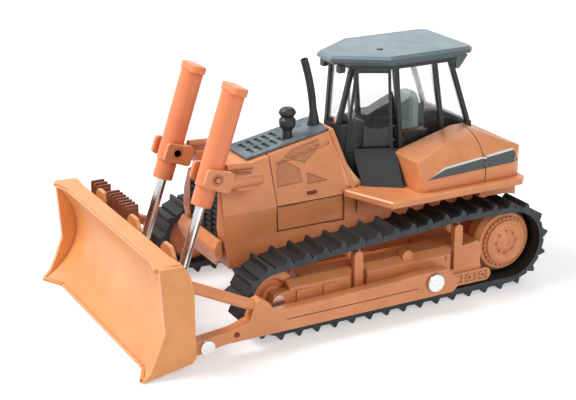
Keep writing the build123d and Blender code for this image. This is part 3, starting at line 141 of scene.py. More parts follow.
@dataclass(frozen=True)
class Paint:
    """A sprayed or moulded finish, with mottling, fine texture, painted highlights on the edges, painted
    shade in the corners and painted light and shade on the sides.

    Attributes:
        name: the finish's plain name.
        colour: sRGB hex of the clean surface.
        shade: sRGB hex of the darker mottling and of the painted shade in the corners.
        edge: sRGB hex of the painted highlight on the edges.
        roughness: mean roughness.
        grain_mm: size of the surface texture.
        bump: strength of the texture.
        coat: share of clear coat.
        mottle_mm: size of the colour variation.
        mottle: how far the colour moves towards the shade.
        corner_shade: how dark the painted shade in the corners gets.
        edge_highlight: how far the edges move towards the painted highlight.
        flank: sRGB hex of the painted light and shade on the faces that look sideways, or the colour itself.
        flank_share: how far those faces move towards it.
        round_mm: radius that the edges seem to have.
    """

    name: str
    colour: str
    shade: str
    edge: str
    roughness: float
    grain_mm: float
    bump: float
    coat: float = 0.0
    mottle_mm: float = 9.0
    mottle: float = 0.25
    corner_shade: float = 0.6
    edge_highlight: float = 0.5
    flank: str = "808080"
    flank_share: float = 0.0
    round_mm: float = 0.16

    def spread(
        self, tree: bpy.types.NodeTree, fac: bpy.types.NodeSocket, reach: tuple[float, float],
        out: tuple[float, float],
    ) -> bpy.types.NodeSocket:
        """Map a range of a value onto another range, clamped.

        Args:
            tree: the material's tree.
            fac: the value.
            reach: lowest and highest value.
            out: what they become.

        Returns:
            The mapped value.
        """
        node = add_node(
            tree, "ShaderNodeMapRange", in0=fac, in1=reach[0], in2=reach[1], in3=out[0], in4=out[1]
        )
        return node.outputs[0]

    def blend(
        self, tree: bpy.types.NodeTree, fac: bpy.types.NodeSocket,
        base: bpy.types.NodeSocket | tuple[float, ...], hex_colour: str,
    ) -> bpy.types.NodeSocket:
        """Mix a colour over another.

        Args:
            tree: the material's tree.
            fac: the share of the upper colour.
            base: the lower colour, as a socket or a value.
            hex_colour: sRGB hex of the upper colour.

        Returns:
            The mixed colour.
        """
        node = add_node(
            tree, "ShaderNodeMix", {"data_type": "RGBA"}, in0=fac, in6=base, in7=linear(hex_colour)
        )
        return node.outputs[2]

    def build(self) -> bpy.types.Material:
        """Make the Blender material.

        Returns:
            The material.
        """
        material, shader, place = start_material(self.name)
        tree = material.node_tree
        shader.inputs["Coat Weight"].default_value = self.coat
        shader.inputs["Coat Roughness"].default_value = 0.2
        cloud = add_node(
            tree, "ShaderNodeTexNoise", Vector=place, Scale=1 / (self.mottle_mm * MM), Detail=5.0,
            Roughness=0.62,
        ).outputs["Fac"]
        grain = add_node(
            tree, "ShaderNodeTexNoise", Vector=place, Scale=1 / (self.grain_mm * MM), Detail=2.0,
            Roughness=0.5,
        ).outputs["Fac"]
        bevel = add_node(tree, "ShaderNodeBevel", {"samples": 4}, Radius=self.round_mm * MM)
        soft = bevel.outputs["Normal"]
        true_normal = add_node(tree, "ShaderNodeNewGeometry").outputs["True Normal"]
        match = add_node(
            tree, "ShaderNodeVectorMath", {"operation": "DOT_PRODUCT"}, in0=soft, in1=true_normal
        ).outputs["Value"]
        corner = add_node(
            tree, "ShaderNodeAmbientOcclusion", {"samples": 6}, Distance=1.5 * MM
        ).outputs["AO"]
        # faces that look sideways take the flank colour: painted light and shade on the sides
        side = add_node(tree, "ShaderNodeSeparateXYZ", Vector=true_normal).outputs["X"]
        flank = add_node(tree, "ShaderNodeMath", {"operation": "ABSOLUTE"}, in0=side).outputs[0]
        sideways = self.spread(tree, flank, FLANK_REACH, (0.0, self.flank_share))
        colour = self.blend(tree, sideways, linear(self.colour), self.flank)
        mottled = self.spread(tree, cloud, CLOUD_REACH, (0.0, self.mottle))
        colour = self.blend(tree, mottled, colour, self.shade)
        # painted highlight along the open edges, where the rounded normal turns away from the true one
        edge_highlight_share = self.spread(tree, match, EDGE_REACH, (0.0, self.edge_highlight))
        open_edge = add_node(
            tree, "ShaderNodeMath", {"operation": "MULTIPLY"}, in0=edge_highlight_share,
            in1=self.spread(tree, corner, OPEN_REACH, (0.0, 1.0)),
        ).outputs[0]
        colour = self.blend(tree, open_edge, colour, self.edge)
        # painted shade in the corners, darker where the ambient occlusion is strong
        painted_corner_shade = self.spread(tree, corner, CORNER_REACH, (0.0, self.corner_shade))
        colour = self.blend(tree, painted_corner_shade, colour, self.shade)
        tree.links.new(colour, shader.inputs["Base Color"])
        rough = self.spread(tree, cloud, (0.3, 0.7), (self.roughness - 0.05, self.roughness + 0.07))
        tree.links.new(rough, shader.inputs["Roughness"])
        bump = add_node(
            tree, "ShaderNodeBump", Strength=self.bump, Distance=0.05 * MM, Height=grain, Normal=soft
        )
        tree.links.new(bump.outputs["Normal"], shader.inputs["Normal"])
        return material


@dataclass(frozen=True)
class BrightMetal:
    """Plated steel with fine turning marks.

    Attributes:
        name: the finish's plain name.
        colour: sRGB hex of the reflection.
        roughness: mean roughness.
        scratch_mm: spacing of the turning marks.
    """

    name: str
    colour: str
    roughness: float
    scratch_mm: float

    def build(self) -> bpy.types.Material:
        """Make the Blender material.

        Returns:
            The material.
        """
        material, shader, place = start_material(self.name)
        tree = material.node_tree
        shader.inputs["Metallic"].default_value = 1.0
        marks = add_node(
            tree, "ShaderNodeTexNoise", Vector=place, Scale=1 / (self.scratch_mm * MM), Detail=3.0
        )
        tone = add_node(
            tree, "ShaderNodeMix", {"data_type": "RGBA"}, in0=marks.outputs["Fac"],
            in6=linear(self.colour), in7=linear("C9CBCC"),
        )
        tree.links.new(tone.outputs[2], shader.inputs["Base Color"])
        rough = add_node(
            tree, "ShaderNodeMapRange", in0=marks.outputs["Fac"], in1=0.3, in2=0.7,
            in3=self.roughness, in4=self.roughness + 0.12,
        )
        tree.links.new(rough.outputs[0], shader.inputs["Roughness"])
        bump = add_node(
            tree, "ShaderNodeBump", Strength=0.15, Distance=0.02 * MM, Height=marks.outputs["Fac"]
        )
        tree.links.new(bump.outputs["Normal"], shader.inputs["Normal"])
        return material


@dataclass(frozen=True)
class ClearPlastic:
    """Thin clear styrene of the cab's windows.

    Attributes:
        name: the finish's plain name.
        tint: sRGB hex of the faint tint.
    """

    name: str
    tint: str

    def build(self) -> bpy.types.Material:
        """Make the Blender material.

        Returns:
            The material.
        """
        material, shader, place = start_material(self.name)
        tree = material.node_tree
        haze = add_node(tree, "ShaderNodeTexNoise", Vector=place, Scale=1 / (6 * MM), Detail=3.0)
        rough = add_node(
            tree, "ShaderNodeMapRange", in0=haze.outputs["Fac"], in1=0.4, in2=0.8, in3=0.03, in4=0.12
        )
        shader.inputs["Base Color"].default_value = linear(self.tint)
        shader.inputs["IOR"].default_value = 1.49
        shader.inputs["Transmission Weight"].default_value = 1.0
        shader.inputs["Alpha"].default_value = 0.22
        tree.links.new(rough.outputs[0], shader.inputs["Roughness"])
        return material


# sprayed enamel over die-cast zinc: soft orange peel, satin shine, with a painted highlight on the edges
ENAMEL = Paint(
    "orange_enamel", "EA955E", "84452A", "FFDDAA", 0.4, 0.5, 0.25, coat=0.25, mottle=0.2, edge_highlight=0.75,
    round_mm=0.2,
)
# the same enamel, a little paler and yellower on the blade, as a painted sheen on its lit face
BLADE_ENAMEL_SHEEN = Paint(
    "blade_enamel_sheen", "F2A25E", "8E5030", "FFE6B4", 0.38, 0.6, 0.2, coat=0.25, mottle=0.16, edge_highlight=0.8,
    round_mm=0.22,
)
# the orange enamel darkened to brown as painted shade, for the ribbed guards and the trunnions' seats
SHADED_ENAMEL = Paint("shaded_enamel", "8A4B2C", "4A2413", "B87A4E", 0.5, 0.5, 0.3, coat=0.1, mottle=0.4)
# moulded polystyrene, coloured through: brighter and more even than the paint
STYRENE = Paint(
    "orange_styrene", "FA9260", "C05A2E", "FFC08C", 0.36, 0.9, 0.12, coat=0.2, mottle=0.1, edge_highlight=0.35
)
# soft moulded track rubber: black on the treads, with a painted grey sheen on the flanks
TRACK_RUBBER = Paint(
    "track_rubber", "131416", "080909", "59646A", 0.6, 0.4, 0.5, mottle_mm=3.0, mottle=0.5, corner_shade=0.8,
    edge_highlight=0.6, flank="3C4347", flank_share=0.9, round_mm=0.12,
)
# black moulded plastic with a faint sheen
BLACK_PLASTIC = Paint("black_plastic", "1F2223", "0C0D0E", "4A5254", 0.42, 0.4, 0.3, mottle=0.3, edge_highlight=0.4)
# dull black of the grille
GRILLE_BLACK = Paint("grille_black", "1A1C1D", "0A0B0B", "3C4244", 0.6, 0.4, 0.3, mottle=0.3, edge_highlight=0.4)
# blue-grey moulded plastic of the roof, with painted shade on its upright rim
ROOF_PLASTIC = Paint(
    "roof_plastic", "7F9199", "4A5A61", "9DAFB6", 0.5, 0.35, 0.35, mottle_mm=5.0, mottle=0.22, flank="4E5A5C",
    flank_share=0.8,
)
# the darker grey of the louvred lid
PANEL_PLASTIC = Paint(
    "panel_plastic", "6E7B82", "252C30", "A3B0B6", 0.48, 0.35, 0.3, mottle_mm=3.0, mottle=0.6, corner_shade=0.9,
    edge_highlight=0.6,
)
# pale grey-green plastic of the seat
SEAT_PLASTIC = Paint("seat_plastic", "B3C4BF", "74867F", "CBD8D4", 0.55, 0.35, 0.3, edge_highlight=0.2)
# shadow inside the gaps of the panels
SEAM_SHADOW = Paint("seam_shadow", "6B3A20", "3A1E10", "6B3A20", 0.7, 0.3, 0.2, edge_highlight=0.0)
# printed dots that stand for fine perforations
PERFORATION = Paint(
    "perforation_print", "B4825C", "946545", "B4825C", 0.6, 0.3, 0.1, corner_shade=0.1, edge_highlight=0.0
)
# dark grey printing ink of the stripe
STRIPE_PRINT = Paint("stripe_print", "4A4F50", "3A3E40", "4A4F50", 0.42, 0.5, 0.1, coat=0.2, edge_highlight=0.0)
# white printing ink of its border
WHITE_PRINT = Paint(
    "white_print", "F4F2EE", "D8D2CA", "F4F2EE", 0.42, 0.5, 0.1, coat=0.2, mottle=0.1, edge_highlight=0.0
)
BRIGHT = BrightMetal("plated_steel", "F2F3F3", 0.16, 0.4)
CLEAR = ClearPlastic("clear_styrene", "F4FAFB")

Finish = Paint | BrightMetal | ClearPlastic


@dataclass
class Dressing:
    """Gives each node of the frame its finish.

    Attributes:
        nodes: the frame's node objects by name.
        made: the materials made so far, by the finish's name.
    """

    nodes: dict[str, bpy.types.Object]
    made: dict[str, bpy.types.Material] = field(default_factory=dict)

    def finish_of(self, name: str) -> Finish:
        """Choose the finish of a node by its name.

        Args:
            name: the node's name.

        Returns:
            The finish.
        """
        if name.startswith("track_frame"):
            return ENAMEL
        if name in ("mouldboard", "cutting_edge", "blade_end_left", "blade_end_right"):
            return BLADE_ENAMEL_SHEEN
        if name == "grille":
            return GRILLE_BLACK
        if name.startswith("track_"):
            return TRACK_RUBBER
        if name.startswith(("rod_", "idler_axle", "arm_rivet", "blade_pin")):
            return BRIGHT
        if name.startswith("cylinder"):
            return STYRENE
        if name.startswith("hood_insert"):
            return PANEL_PLASTIC
        if name.startswith("cab_roof"):
            return ROOF_PLASTIC
        if name.startswith("seat"):
            return SEAT_PLASTIC
        if name.startswith(("exhaust", "air_intake", "cab_frame", "console", "work_lamp", "door")):
            return BLACK_PLASTIC
        if name.startswith("window"):
            return CLEAR
        return ENAMEL

    def material(self, finish: Finish) -> bpy.types.Material:
        """Return a finish's material, which is made once.

        Args:
            finish: the finish.

        Returns:
            Its material.
        """
        if finish.name not in self.made:
            self.made[finish.name] = finish.build()
        return self.made[finish.name]

    def dress(self) -> None:
        """Put a material on every node."""
        for name, node in self.nodes.items():
            node.data.materials.clear()
            node.data.materials.append(self.material(self.finish_of(name)))


def load_piece(
    name: str, mesh: bpy.types.Mesh, material: bpy.types.Material, body: Body
) -> bpy.types.Object:
    """Link a finished mesh, give it its material and let it ride on a body.

    Args:
        name: the piece's name.
        mesh: its mesh, in the model's frame.
        material: its finish.
        body: the body that carries it.

    Returns:
        The new object.
    """
    mesh.materials.clear()
    mesh.materials.append(material)
    piece = bpy.data.objects.new(name, mesh)
    bpy.context.scene.collection.objects.link(piece)
    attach(piece, body.value)
    LOG.info("%s: %d faces", name, len(mesh.polygons))
    return piece


def mesh_from(name: str, shape: bmesh.types.BMesh) -> bpy.types.Mesh:
    """Close a bmesh into a mesh with its faces turned outwards.

    Args:
        name: the mesh's name.
        shape: the bmesh, which is freed.

    Returns:
        The mesh.
    """
    bmesh.ops.remove_doubles(shape, verts=shape.verts, dist=1e-7)
    bmesh.ops.recalc_face_normals(shape, faces=shape.faces)
    mesh = bpy.data.meshes.new(name)
    shape.to_mesh(mesh)
    shape.free()
    return mesh


def surface_of(nodes: list[bpy.types.Object]) -> BVHTree:
    """Make one search tree of several nodes' surfaces.

    Args:
        nodes: the frame's node objects.

    Returns:
        The tree, in the model's frame.
    """
    points, faces = [], []
    for node in nodes:
        start = len(points)
        points += [vertex.co.copy() for vertex in node.data.vertices]
        faces += [[start + index for index in face.vertices] for face in node.data.polygons]
    return BVHTree.FromPolygons(points, faces)


def drape(
    outlines: list[Outline], side: int, surface: BVHTree, lift: float, pitch: float
) -> bmesh.types.BMesh:
    """Lay flat outlines on the side of the model, following its surface.

    Args:
        outlines: closed outlines of y and z, in millimetres.
        side: 1 for the left side, -1 for the right side.
        surface: search tree of what they lie on.
        lift: height of the film above the surface, in millimetres.
        pitch: spacing of the cuts that let the film bend, in millimetres.

    Returns:
        The draped faces.
    """
    shape = bmesh.new()
    for outline in outlines:
        shape.faces.new([shape.verts.new((0, y * MM, z * MM)) for y, z in outline])
    for axis in (1, 2):
        reach = [vertex.co[axis] for vertex in shape.verts]
        step = pitch * MM
        place = math.ceil(min(reach) / step) * step
        while place < max(reach):
            centre, normal = Vector((0, 0, 0)), Vector((0, 0, 0))
            centre[axis], normal[axis] = place, 1
            parts = shape.verts[:] + shape.edges[:] + shape.faces[:]
            bmesh.ops.bisect_plane(shape, geom=parts, plane_co=centre, plane_no=normal)
            place += step
    for vertex in shape.verts:
        start = Vector((side * OUTSIDE, vertex.co.y, vertex.co.z))
        hit = surface.ray_cast(start, Vector((-side, 0, 0)))[0] or surface.find_nearest(start)[0]
        vertex.co.x = hit.x + side * lift * MM
    for face in shape.faces:
        face.normal_update()
        if face.normal.x * side < 0:
            face.normal_flip()
    return shape


def film(name: str, shape: bmesh.types.BMesh, thickness: float) -> bpy.types.Mesh:
    """Give draped faces a thin closed body.

    Args:
        name: the mesh's name.
        shape: the draped faces, which are freed.
        thickness: the film's thickness in millimetres.

    Returns:
        The closed mesh.
    """
    bmesh.ops.solidify(shape, geom=shape.faces[:], thickness=thickness * MM)
    return mesh_from(name, shape)


def strips(line: Outline, width: float) -> list[Outline]:
    """Turn a line of points into narrow four-sided outlines.

    Args:
        line: points of y and z in millimetres.
        width: the strips' width in millimetres.

    Returns:
        One outline for each run of the line.
    """
    outlines = []
    for start, end in zip(line, line[1:]):
        way = Vector((end[0] - start[0], end[1] - start[1])).normalized()
        across = Vector((-way.y, way.x)) * width / 2
        reach = way * width / 2
        a, b = Vector(start) - reach, Vector(end) + reach
        outlines.append([tuple(a - across), tuple(b - across), tuple(b + across), tuple(a + across)])
    return outlines


def join_pieces(
    name: str, parts: list[bpy.types.Mesh], material: bpy.types.Material, body: Body = Body.MACHINE
) -> bpy.types.Object:
    """Join meshes into one piece.

    Args:
        name: the piece's name.
        parts: the meshes.
        material: their finish.
        body: the body that carries the piece.

    Returns:
        The new object.
    """
    shape = bmesh.new()
    for part in parts:
        shape.from_mesh(part)
    mesh = bpy.data.meshes.new(name)
    shape.to_mesh(mesh)
    shape.free()
    return load_piece(name, mesh, material, body)


def extrude_plate(
    shape: bmesh.types.BMesh, outline: Outline, front: float, rear: float, bevel: float = 0.18
) -> None:
    """Add an upright plate with bevelled edges.

    Args:
        shape: the bmesh that gets the plate.
        outline: x and z of its corners, in millimetres.
        front: y of its front face.
        rear: y of its rear face.
        bevel: width of the bevels.
    """
    face = shape.faces.new([shape.verts.new((x * MM, front * MM, z * MM)) for x, z in outline])
    grown = bmesh.ops.extrude_face_region(shape, geom=[face])["geom"]
    moved = [item for item in grown if isinstance(item, bmesh.types.BMVert)]
    bmesh.ops.translate(shape, verts=moved, vec=Vector((0, (rear - front) * MM, 0)))
    edges = {edge for vertex in moved for edge in vertex.link_edges}
    bmesh.ops.bevel(shape, geom=list(edges), offset=bevel * MM, segments=2, affect="EDGES", profile=0.6)


@dataclass
class Repeater:
    """Geometry Nodes tree that sets a small turned form on each point of a mesh.

    Attributes:
        name: the tree's name.
        sides: number of sides of the form.
        along_normal: set the form square to the surface instead of across the model.
    """

    name: str
    sides: int
    along_normal: bool = False

    def tree(self) -> bpy.types.NodeTree:
        """Build the tree with its named inputs.

        Returns:
            The tree.
        """
        tree = bpy.data.node_groups.new(self.name, "GeometryNodeTree")
        face = tree.interface
        face.new_socket("Geometry", in_out="INPUT", socket_type="NodeSocketGeometry")
        face.new_socket("Radius", in_out="INPUT", socket_type="NodeSocketFloat")
        face.new_socket("Height", in_out="INPUT", socket_type="NodeSocketFloat")
        face.new_socket("Finish", in_out="INPUT", socket_type="NodeSocketMaterial")
        face.new_socket("Geometry", in_out="OUTPUT", socket_type="NodeSocketGeometry")
        given = add_node(tree, "NodeGroupInput")
        form = add_node(
            tree, "GeometryNodeMeshCone", Vertices=self.sides, Radius_Top=given.outputs["Radius"],
            Radius_Bottom=given.outputs["Radius"], Depth=given.outputs["Height"],
        )
        if self.along_normal:
            normal = add_node(tree, "GeometryNodeInputNormal").outputs["Normal"]
        else:
            place = add_node(tree, "GeometryNodeInputPosition").outputs["Position"]
            part = add_node(tree, "ShaderNodeSeparateXYZ", Vector=place)
            sign = add_node(tree, "ShaderNodeMath", {"operation": "SIGN"}, in0=part.outputs["X"])
            normal = add_node(tree, "ShaderNodeCombineXYZ", X=sign.outputs[0]).outputs["Vector"]
        turn = add_node(tree, "FunctionNodeAlignRotationToVector", {"axis": "Z"}, Vector=normal)
        copies = add_node(
            tree, "GeometryNodeInstanceOnPoints", Points=given.outputs["Geometry"],
            Instance=form.outputs["Mesh"], Rotation=turn.outputs["Rotation"],
        )
        real = add_node(tree, "GeometryNodeRealizeInstances", Geometry=copies.outputs["Instances"])
        dressed = add_node(
            tree, "GeometryNodeSetMaterial", Geometry=real.outputs["Geometry"],
            Material=given.outputs["Finish"],
        )
        add_node(tree, "NodeGroupOutput", Geometry=dressed.outputs["Geometry"])
        return tree

    def run(
        self, points: bpy.types.Mesh, radius: float, height: float, material: bpy.types.Material
    ) -> bpy.types.Mesh:
        """Run the tree on a mesh and return the realized copies.

        Args:
            points: the mesh whose vertices carry the copies.
            radius: the form's radius in millimetres.
            height: the form's height in millimetres.
            material: the copies' finish.

        Returns:
            A plain mesh.
        """
        holder = bpy.data.objects.new(self.name, points)
        bpy.context.scene.collection.objects.link(holder)
        modifier = holder.modifiers.new(self.name, "NODES")
        modifier.node_group = self.tree()
        values = {"Radius": radius * MM, "Height": height * MM, "Finish": material}
        for item in modifier.node_group.interface.items_tree:
            if item.name in values and item.in_out == "INPUT":
                modifier[item.identifier] = values[item.name]
        graph = bpy.context.evaluated_depsgraph_get()
        result = bpy.data.meshes.new_from_object(holder.evaluated_get(graph))
        holder.modifiers.remove(modifier)
        bpy.data.objects.remove(holder)
        return result


@dataclass
class HoodTrim:
    """Printed and pressed detail of the engine hood's sides.

    Attributes:
        seam_width: width of the shadow gaps, in millimetres.
        film_lift: height of the print above the paint.
        hole_radius: radius of a perforation.
        hole_pitch: spacing of the perforations.
        front: y of the side door's front seam.
        rear: y of its rear end.
        low: z of the lower panel's foot.
        crease: z of the crease between the panels.
        post_width: distance from the lower panel's rear seam to the door's rear end.
        latch_z: z of the latch's middle.
        latch_reach: y of the latch's two ends.
        latch_height: the latch's height.
        grips: y of the front ends of the latch's two grips.
        grip_size: length and height of a grip.
    """

    seam_width: float = 0.3
    film_lift: float = 0.04
    hole_radius: float = 0.17
    hole_pitch: float = 0.5
    front: float = -12.9
    rear: float = 10.0
    low: float = 21.1
    crease: float = 27.5
    post_width: float = 3.8
    latch_z: float = 29.6
    latch_reach: tuple[float, float] = (-4.2, -1.4)
    latch_height: float = 1.5
    grips: tuple[float, float] = (-3.7, -2.3)
    grip_size: tuple[float, float] = (0.5, 0.9)

    def seams(self) -> list[Outline]:
        """Lay out the shadow gaps round the side door and the lower panel.

        Returns:
            Narrow outlines of y and z, in millimetres.
        """
        post = self.rear - self.post_width
        runs = [
            [(self.front + 0.1, self.crease), (self.rear - 0.6, self.crease + 0.2)],
            [(self.front, self.crease), (self.front, self.low), (post, self.low)],
            [(post, self.crease), (post, self.low)],
            [(self.rear, self.crease), (self.rear, self.low + 1.4)],
        ]
        return [outline for run in runs for outline in strips(run, self.seam_width)]

    def fields(self) -> list[Outline]:
        """Lay out the three fields of fine perforations in the side door.

        Returns:
            Closed outlines of y and z, in millimetres.
        """
        quarter = [(-12.0, 32.2), (-4.9, 32.5), (-5.2, 35.6), (-9.0, 38.2), (-10.4, 37.6), (-11.4, 36.0)]
        ribbon = [(-8.6, 38.9), (-3.4, 36.9), (1.6, 40.2), (1.4, 41.8), (-6.0, 40.4)]
        wedge = [(-3.3, 31.8), (2.0, 31.9), (-3.0, 34.3)]
        return [quarter, ribbon, wedge]

    def build(self, nodes: dict[str, bpy.types.Object], paints: "Dressing") -> None:
        """Make the seams, the perforations and the latches on both sides.

        Args:
            nodes: the frame's node objects.
            paints: the store of finishes.
        """
        surface = surface_of([nodes["hood"]])
        for side, word in SIDES:
            gaps = drape(self.seams(), side, surface, self.film_lift, 1.0)
            load_piece(
                f"hood_seams_{word}", film("hood_seams", gaps, self.film_lift),
                paints.material(SEAM_SHADOW), Body.MACHINE,
            )
            holes = []
            for outline in self.fields():
                ground = mesh_from("field", drape([outline], side, surface, 0.0, self.hole_pitch))
                holes.append(
                    Repeater("perforations", 8, along_normal=True).run(
                        ground, self.hole_radius, 2 * self.film_lift, paints.material(PERFORATION)
                    )
                )
            join_pieces(f"hood_vents_{word}", holes, paints.material(PERFORATION))
            self.latch(side, word, surface, paints)

    def latch(self, side: int, word: str, surface: BVHTree, paints: "Dressing") -> None:
        """Set the side door's latch with its two grips.

        Args:
            side: 1 for the left side, -1 for the right side.
            word: the side's name.
            surface: search tree of the hood.
            paints: the store of finishes.
        """
        front, rear = self.latch_reach
        plate = strips([(front, self.latch_z), (rear, self.latch_z + 0.1)], self.latch_height)
        load_piece(
            f"hood_latch_{word}", film("hood_latch", drape(plate, side, surface, 0.14, 1.0), 0.14),
            paints.material(ENAMEL), Body.MACHINE,
        )
        length, height = self.grip_size
        for mark, start in zip(("front", "rear"), self.grips):
            grip = strips([(start, self.latch_z), (start + length, self.latch_z)], height)
            load_piece(
                f"hood_latch_{mark}_{word}", film("hood_grip", drape(grip, side, surface, 0.2, 1.0), 0.1),
                paints.material(SEAM_SHADOW), Body.MACHINE,
            )


@dataclass
class TankStripe:
    """Dark wedge with a pale border along the tank's side.

    Attributes:
        tip: y and z of the wedge's front tip.
        foot: y and z of its lower rear corner.
        head: y and z of its upper rear corner.
        crest: y and z where the upper edge leaves the tip's curve.
        border: width of the pale border.
    """

    tip: tuple[float, float] = (23.4, 32.3)
    foot: tuple[float, float] = (52.4, 33.1)
    head: tuple[float, float] = (51.2, 36.0)
    crest: tuple[float, float] = (29.4, 34.3)
    border: float = 0.5

    def build(self, nodes: dict[str, bpy.types.Object], paints: "Dressing") -> None:
        """Lay the stripe on both sides.

        Args:
            nodes: the frame's node objects.
            paints: the store of finishes.
        """
        edge = self.border
        dark = [self.tip, self.foot, self.head, self.crest]
        pale = [
            (self.tip[0] + 1.4, self.tip[1] + 0.7), self.crest, self.head,
            (self.head[0] - 0.2, self.head[1] + edge), (self.crest[0] - 0.2, self.crest[1] + edge),
        ]
        for side, word in SIDES:
            surface = surface_of([nodes[f"tank_{word}"], nodes["rear_shell"]])
            load_piece(
                f"stripe_{word}", film("stripe", drape([dark], side, surface, 0.05, 0.8), 0.04),
                paints.material(STRIPE_PRINT), Body.MACHINE,
            )
            load_piece(
                f"stripe_border_{word}",
                film("stripe_border", drape([pale], side, surface, 0.06, 0.8), 0.04),
                paints.material(WHITE_PRINT), Body.MACHINE,
            )


@dataclass
class CabSkirt:
    """Lower cab side that flares out over the deck, with the curved cowl edge in front of it.

    Attributes:
        foot_front: x, y of the skirt's front foot on the deck.
        foot_rear: x, y of its rear foot, at the tank's front.
        sill_front: x, y, z of its upper front corner, on the cab's side.
        sill_rear: x, y, z of its upper rear corner, at the door post.
        deck: z of the deck's top.
        wall: the skirt's thickness.
        steps: rows of faces from foot to sill.
        bulge: how far the panel bows outwards half way up.
        cowl_height: how far the cowl edge reaches up the hood.
        cowl_sweep: how far it sweeps back at the deck.
        cowl_foot: y of the hood's rear edge at the deck.
        cowl_lean: how much further forward that edge is at the cowl's top.
        cowl_flare: how far the edge stands out at the deck.
    """

    foot_front: tuple[float, float] = (12.7, 11.7)
    foot_rear: tuple[float, float] = (18.9, 20.1)
    sill_front: tuple[float, float, float] = (5.6, 12.7, 37.2)
    sill_rear: tuple[float, float, float] = (11.5, 22.4, 37.6)
    deck: float = 29.25
    wall: float = 0.5
    steps: int = 10
    bulge: float = 0.5
    cowl_height: float = 12.5
    cowl_sweep: float = 4.2
    cowl_foot: float = 8.1
    cowl_lean: float = 1.7
    cowl_flare: float = 0.5

    def skirt(self, side: int) -> bmesh.types.BMesh:
        """Build the flared panel, hollowed a little between its foot and its sill.

        Args:
            side: 1 for the left side, -1 for the right side.

        Returns:
            The closed panel.
        """
        shape = bmesh.new()
        rows = []
        for step in range(self.steps + 1):
            share = step / self.steps
            bulge = self.bulge * math.sin(math.pi * share)
            row = []
            for foot, sill in ((self.foot_front, self.sill_front), (self.foot_rear, self.sill_rear)):
                x = foot[0] + (sill[0] - foot[0]) * share + bulge
                y = foot[1] + (sill[1] - foot[1]) * share - bulge
                z = self.deck + (sill[2] - self.deck) * share
                row.append(shape.verts.new((side * x * MM, y * MM, z * MM)))
            inner_x, inner_y = self.sill_rear[0] - 0.4, self.sill_rear[1] - 1.2
            row.append(shape.verts.new((side * inner_x * MM, inner_y * MM, row[1].co.z)))
            rows.append(row)
        for low, high in zip(rows, rows[1:]):
            shape.faces.new((low[0], low[1], high[1], high[0]))
            shape.faces.new((low[1], low[2], high[2], high[1]))
        bmesh.ops.recalc_face_normals(shape, faces=shape.faces)
        bmesh.ops.solidify(shape, geom=shape.faces[:], thickness=-self.wall * MM)
        return shape

    def cowl(self, side: int, hood: BVHTree) -> bmesh.types.BMesh:
        """Build the orange cowl edge that sweeps back from the hood down to the deck.

        Args:
            side: 1 for the left side, -1 for the right side.
            hood: search tree of the hood, which the edge starts from.

        Returns:
            The closed strip.
        """
        shape = bmesh.new()
        rows = []
        for step in range(self.steps + 1):
            share = step / self.steps
            z = self.deck + self.cowl_height * share
            edge = self.cowl_foot - self.cowl_lean * share
            start = Vector((side * OUTSIDE, (edge - 0.9) * MM, z * MM))
            x = abs(hood.ray_cast(start, Vector((-side, 0, 0)))[0].x) / MM
            sweep = self.cowl_sweep * (1 - share) ** 2
            outer = x + 0.1 + self.cowl_flare * (1 - share) ** 2
            row = [
                (x - 0.3, edge - 0.9), (x + 0.08, edge - 0.5), (outer, edge + sweep),
                (outer - 0.5, edge + sweep + 0.2),
            ]
            rows.append([shape.verts.new((side * px * MM, py * MM, z * MM)) for px, py in row])
        for low, high in zip(rows, rows[1:]):
            for index in range(3):
                shape.faces.new((low[index], low[index + 1], high[index + 1], high[index]))
        bmesh.ops.recalc_face_normals(shape, faces=shape.faces)
        bmesh.ops.solidify(shape, geom=shape.faces[:], thickness=self.wall * MM / 2)
        return shape

    def build(self, nodes: dict[str, bpy.types.Object], paints: "Dressing") -> None:
        """Make the skirts and the cowl edges on both sides.

        Args:
            nodes: the frame's node objects.
            paints: the store of finishes.
        """
        hood = surface_of([nodes["hood"]])
        for side, word in SIDES:
            load_piece(
                f"cab_skirt_{word}", mesh_from("cab_skirt", self.skirt(side)),
                paints.material(BLACK_PLASTIC), Body.MACHINE,
            )
            piece = load_piece(
                f"cowl_edge_{word}", mesh_from("cowl_edge", self.cowl(side, hood)),
                paints.material(ENAMEL), Body.MACHINE,
            )
            piece.data.shade_smooth()


@dataclass
class CabTub:
    """Black moulded lining inside the lower windows, taller on the right.

    Attributes:
        left: x, y and top z of the lining's corners on the left side, from the nose to the door post.
        right: the same on the right side, from the nose to the rear.
        foot: z of its foot.
        rim: height of the lining's upper row of faces.
        wall: its thickness.
    """

    left: tuple[tuple[float, float, float], ...] = (
        (5.9, 15.8, 43.0), (7.6, 18.9, 42.0), (9.0, 21.4, 42.8), (9.3, 22.2, 41.6),
    )
    right: tuple[tuple[float, float, float], ...] = (
        (5.9, 15.8, 42.8), (7.6, 18.9, 41.8), (9.3, 22.0, 43.2), (9.6, 26.0, 42.8), (9.6, 30.0, 44.6),
        (9.5, 34.0, 46.2), (9.4, 35.0, 43.0), (9.3, 38.0, 42.4),
    )
    foot: float = 34.0
    rim: float = 0.6
    wall: float = 0.35

    def build(self, paints: "Dressing") -> None:
        """Make the lining on both sides.

        Args:
            paints: the store of finishes.
        """
        for (side, word), line in zip(SIDES, (self.left, self.right)):
            shape = bmesh.new()
            rows = [
                [shape.verts.new((side * x * MM, y * MM, z * MM)) for z in (self.foot, top - self.rim, top)]
                for x, y, top in line
            ]
            for near, far in zip(rows, rows[1:]):
                for index in range(2):
                    shape.faces.new((near[index], far[index], far[index + 1], near[index + 1]))
            bmesh.ops.solidify(shape, geom=shape.faces[:], thickness=self.wall * MM)
            load_piece(
                f"cab_tub_{word}", mesh_from("cab_tub", shape), paints.material(BLACK_PLASTIC),
                Body.MACHINE,
            )


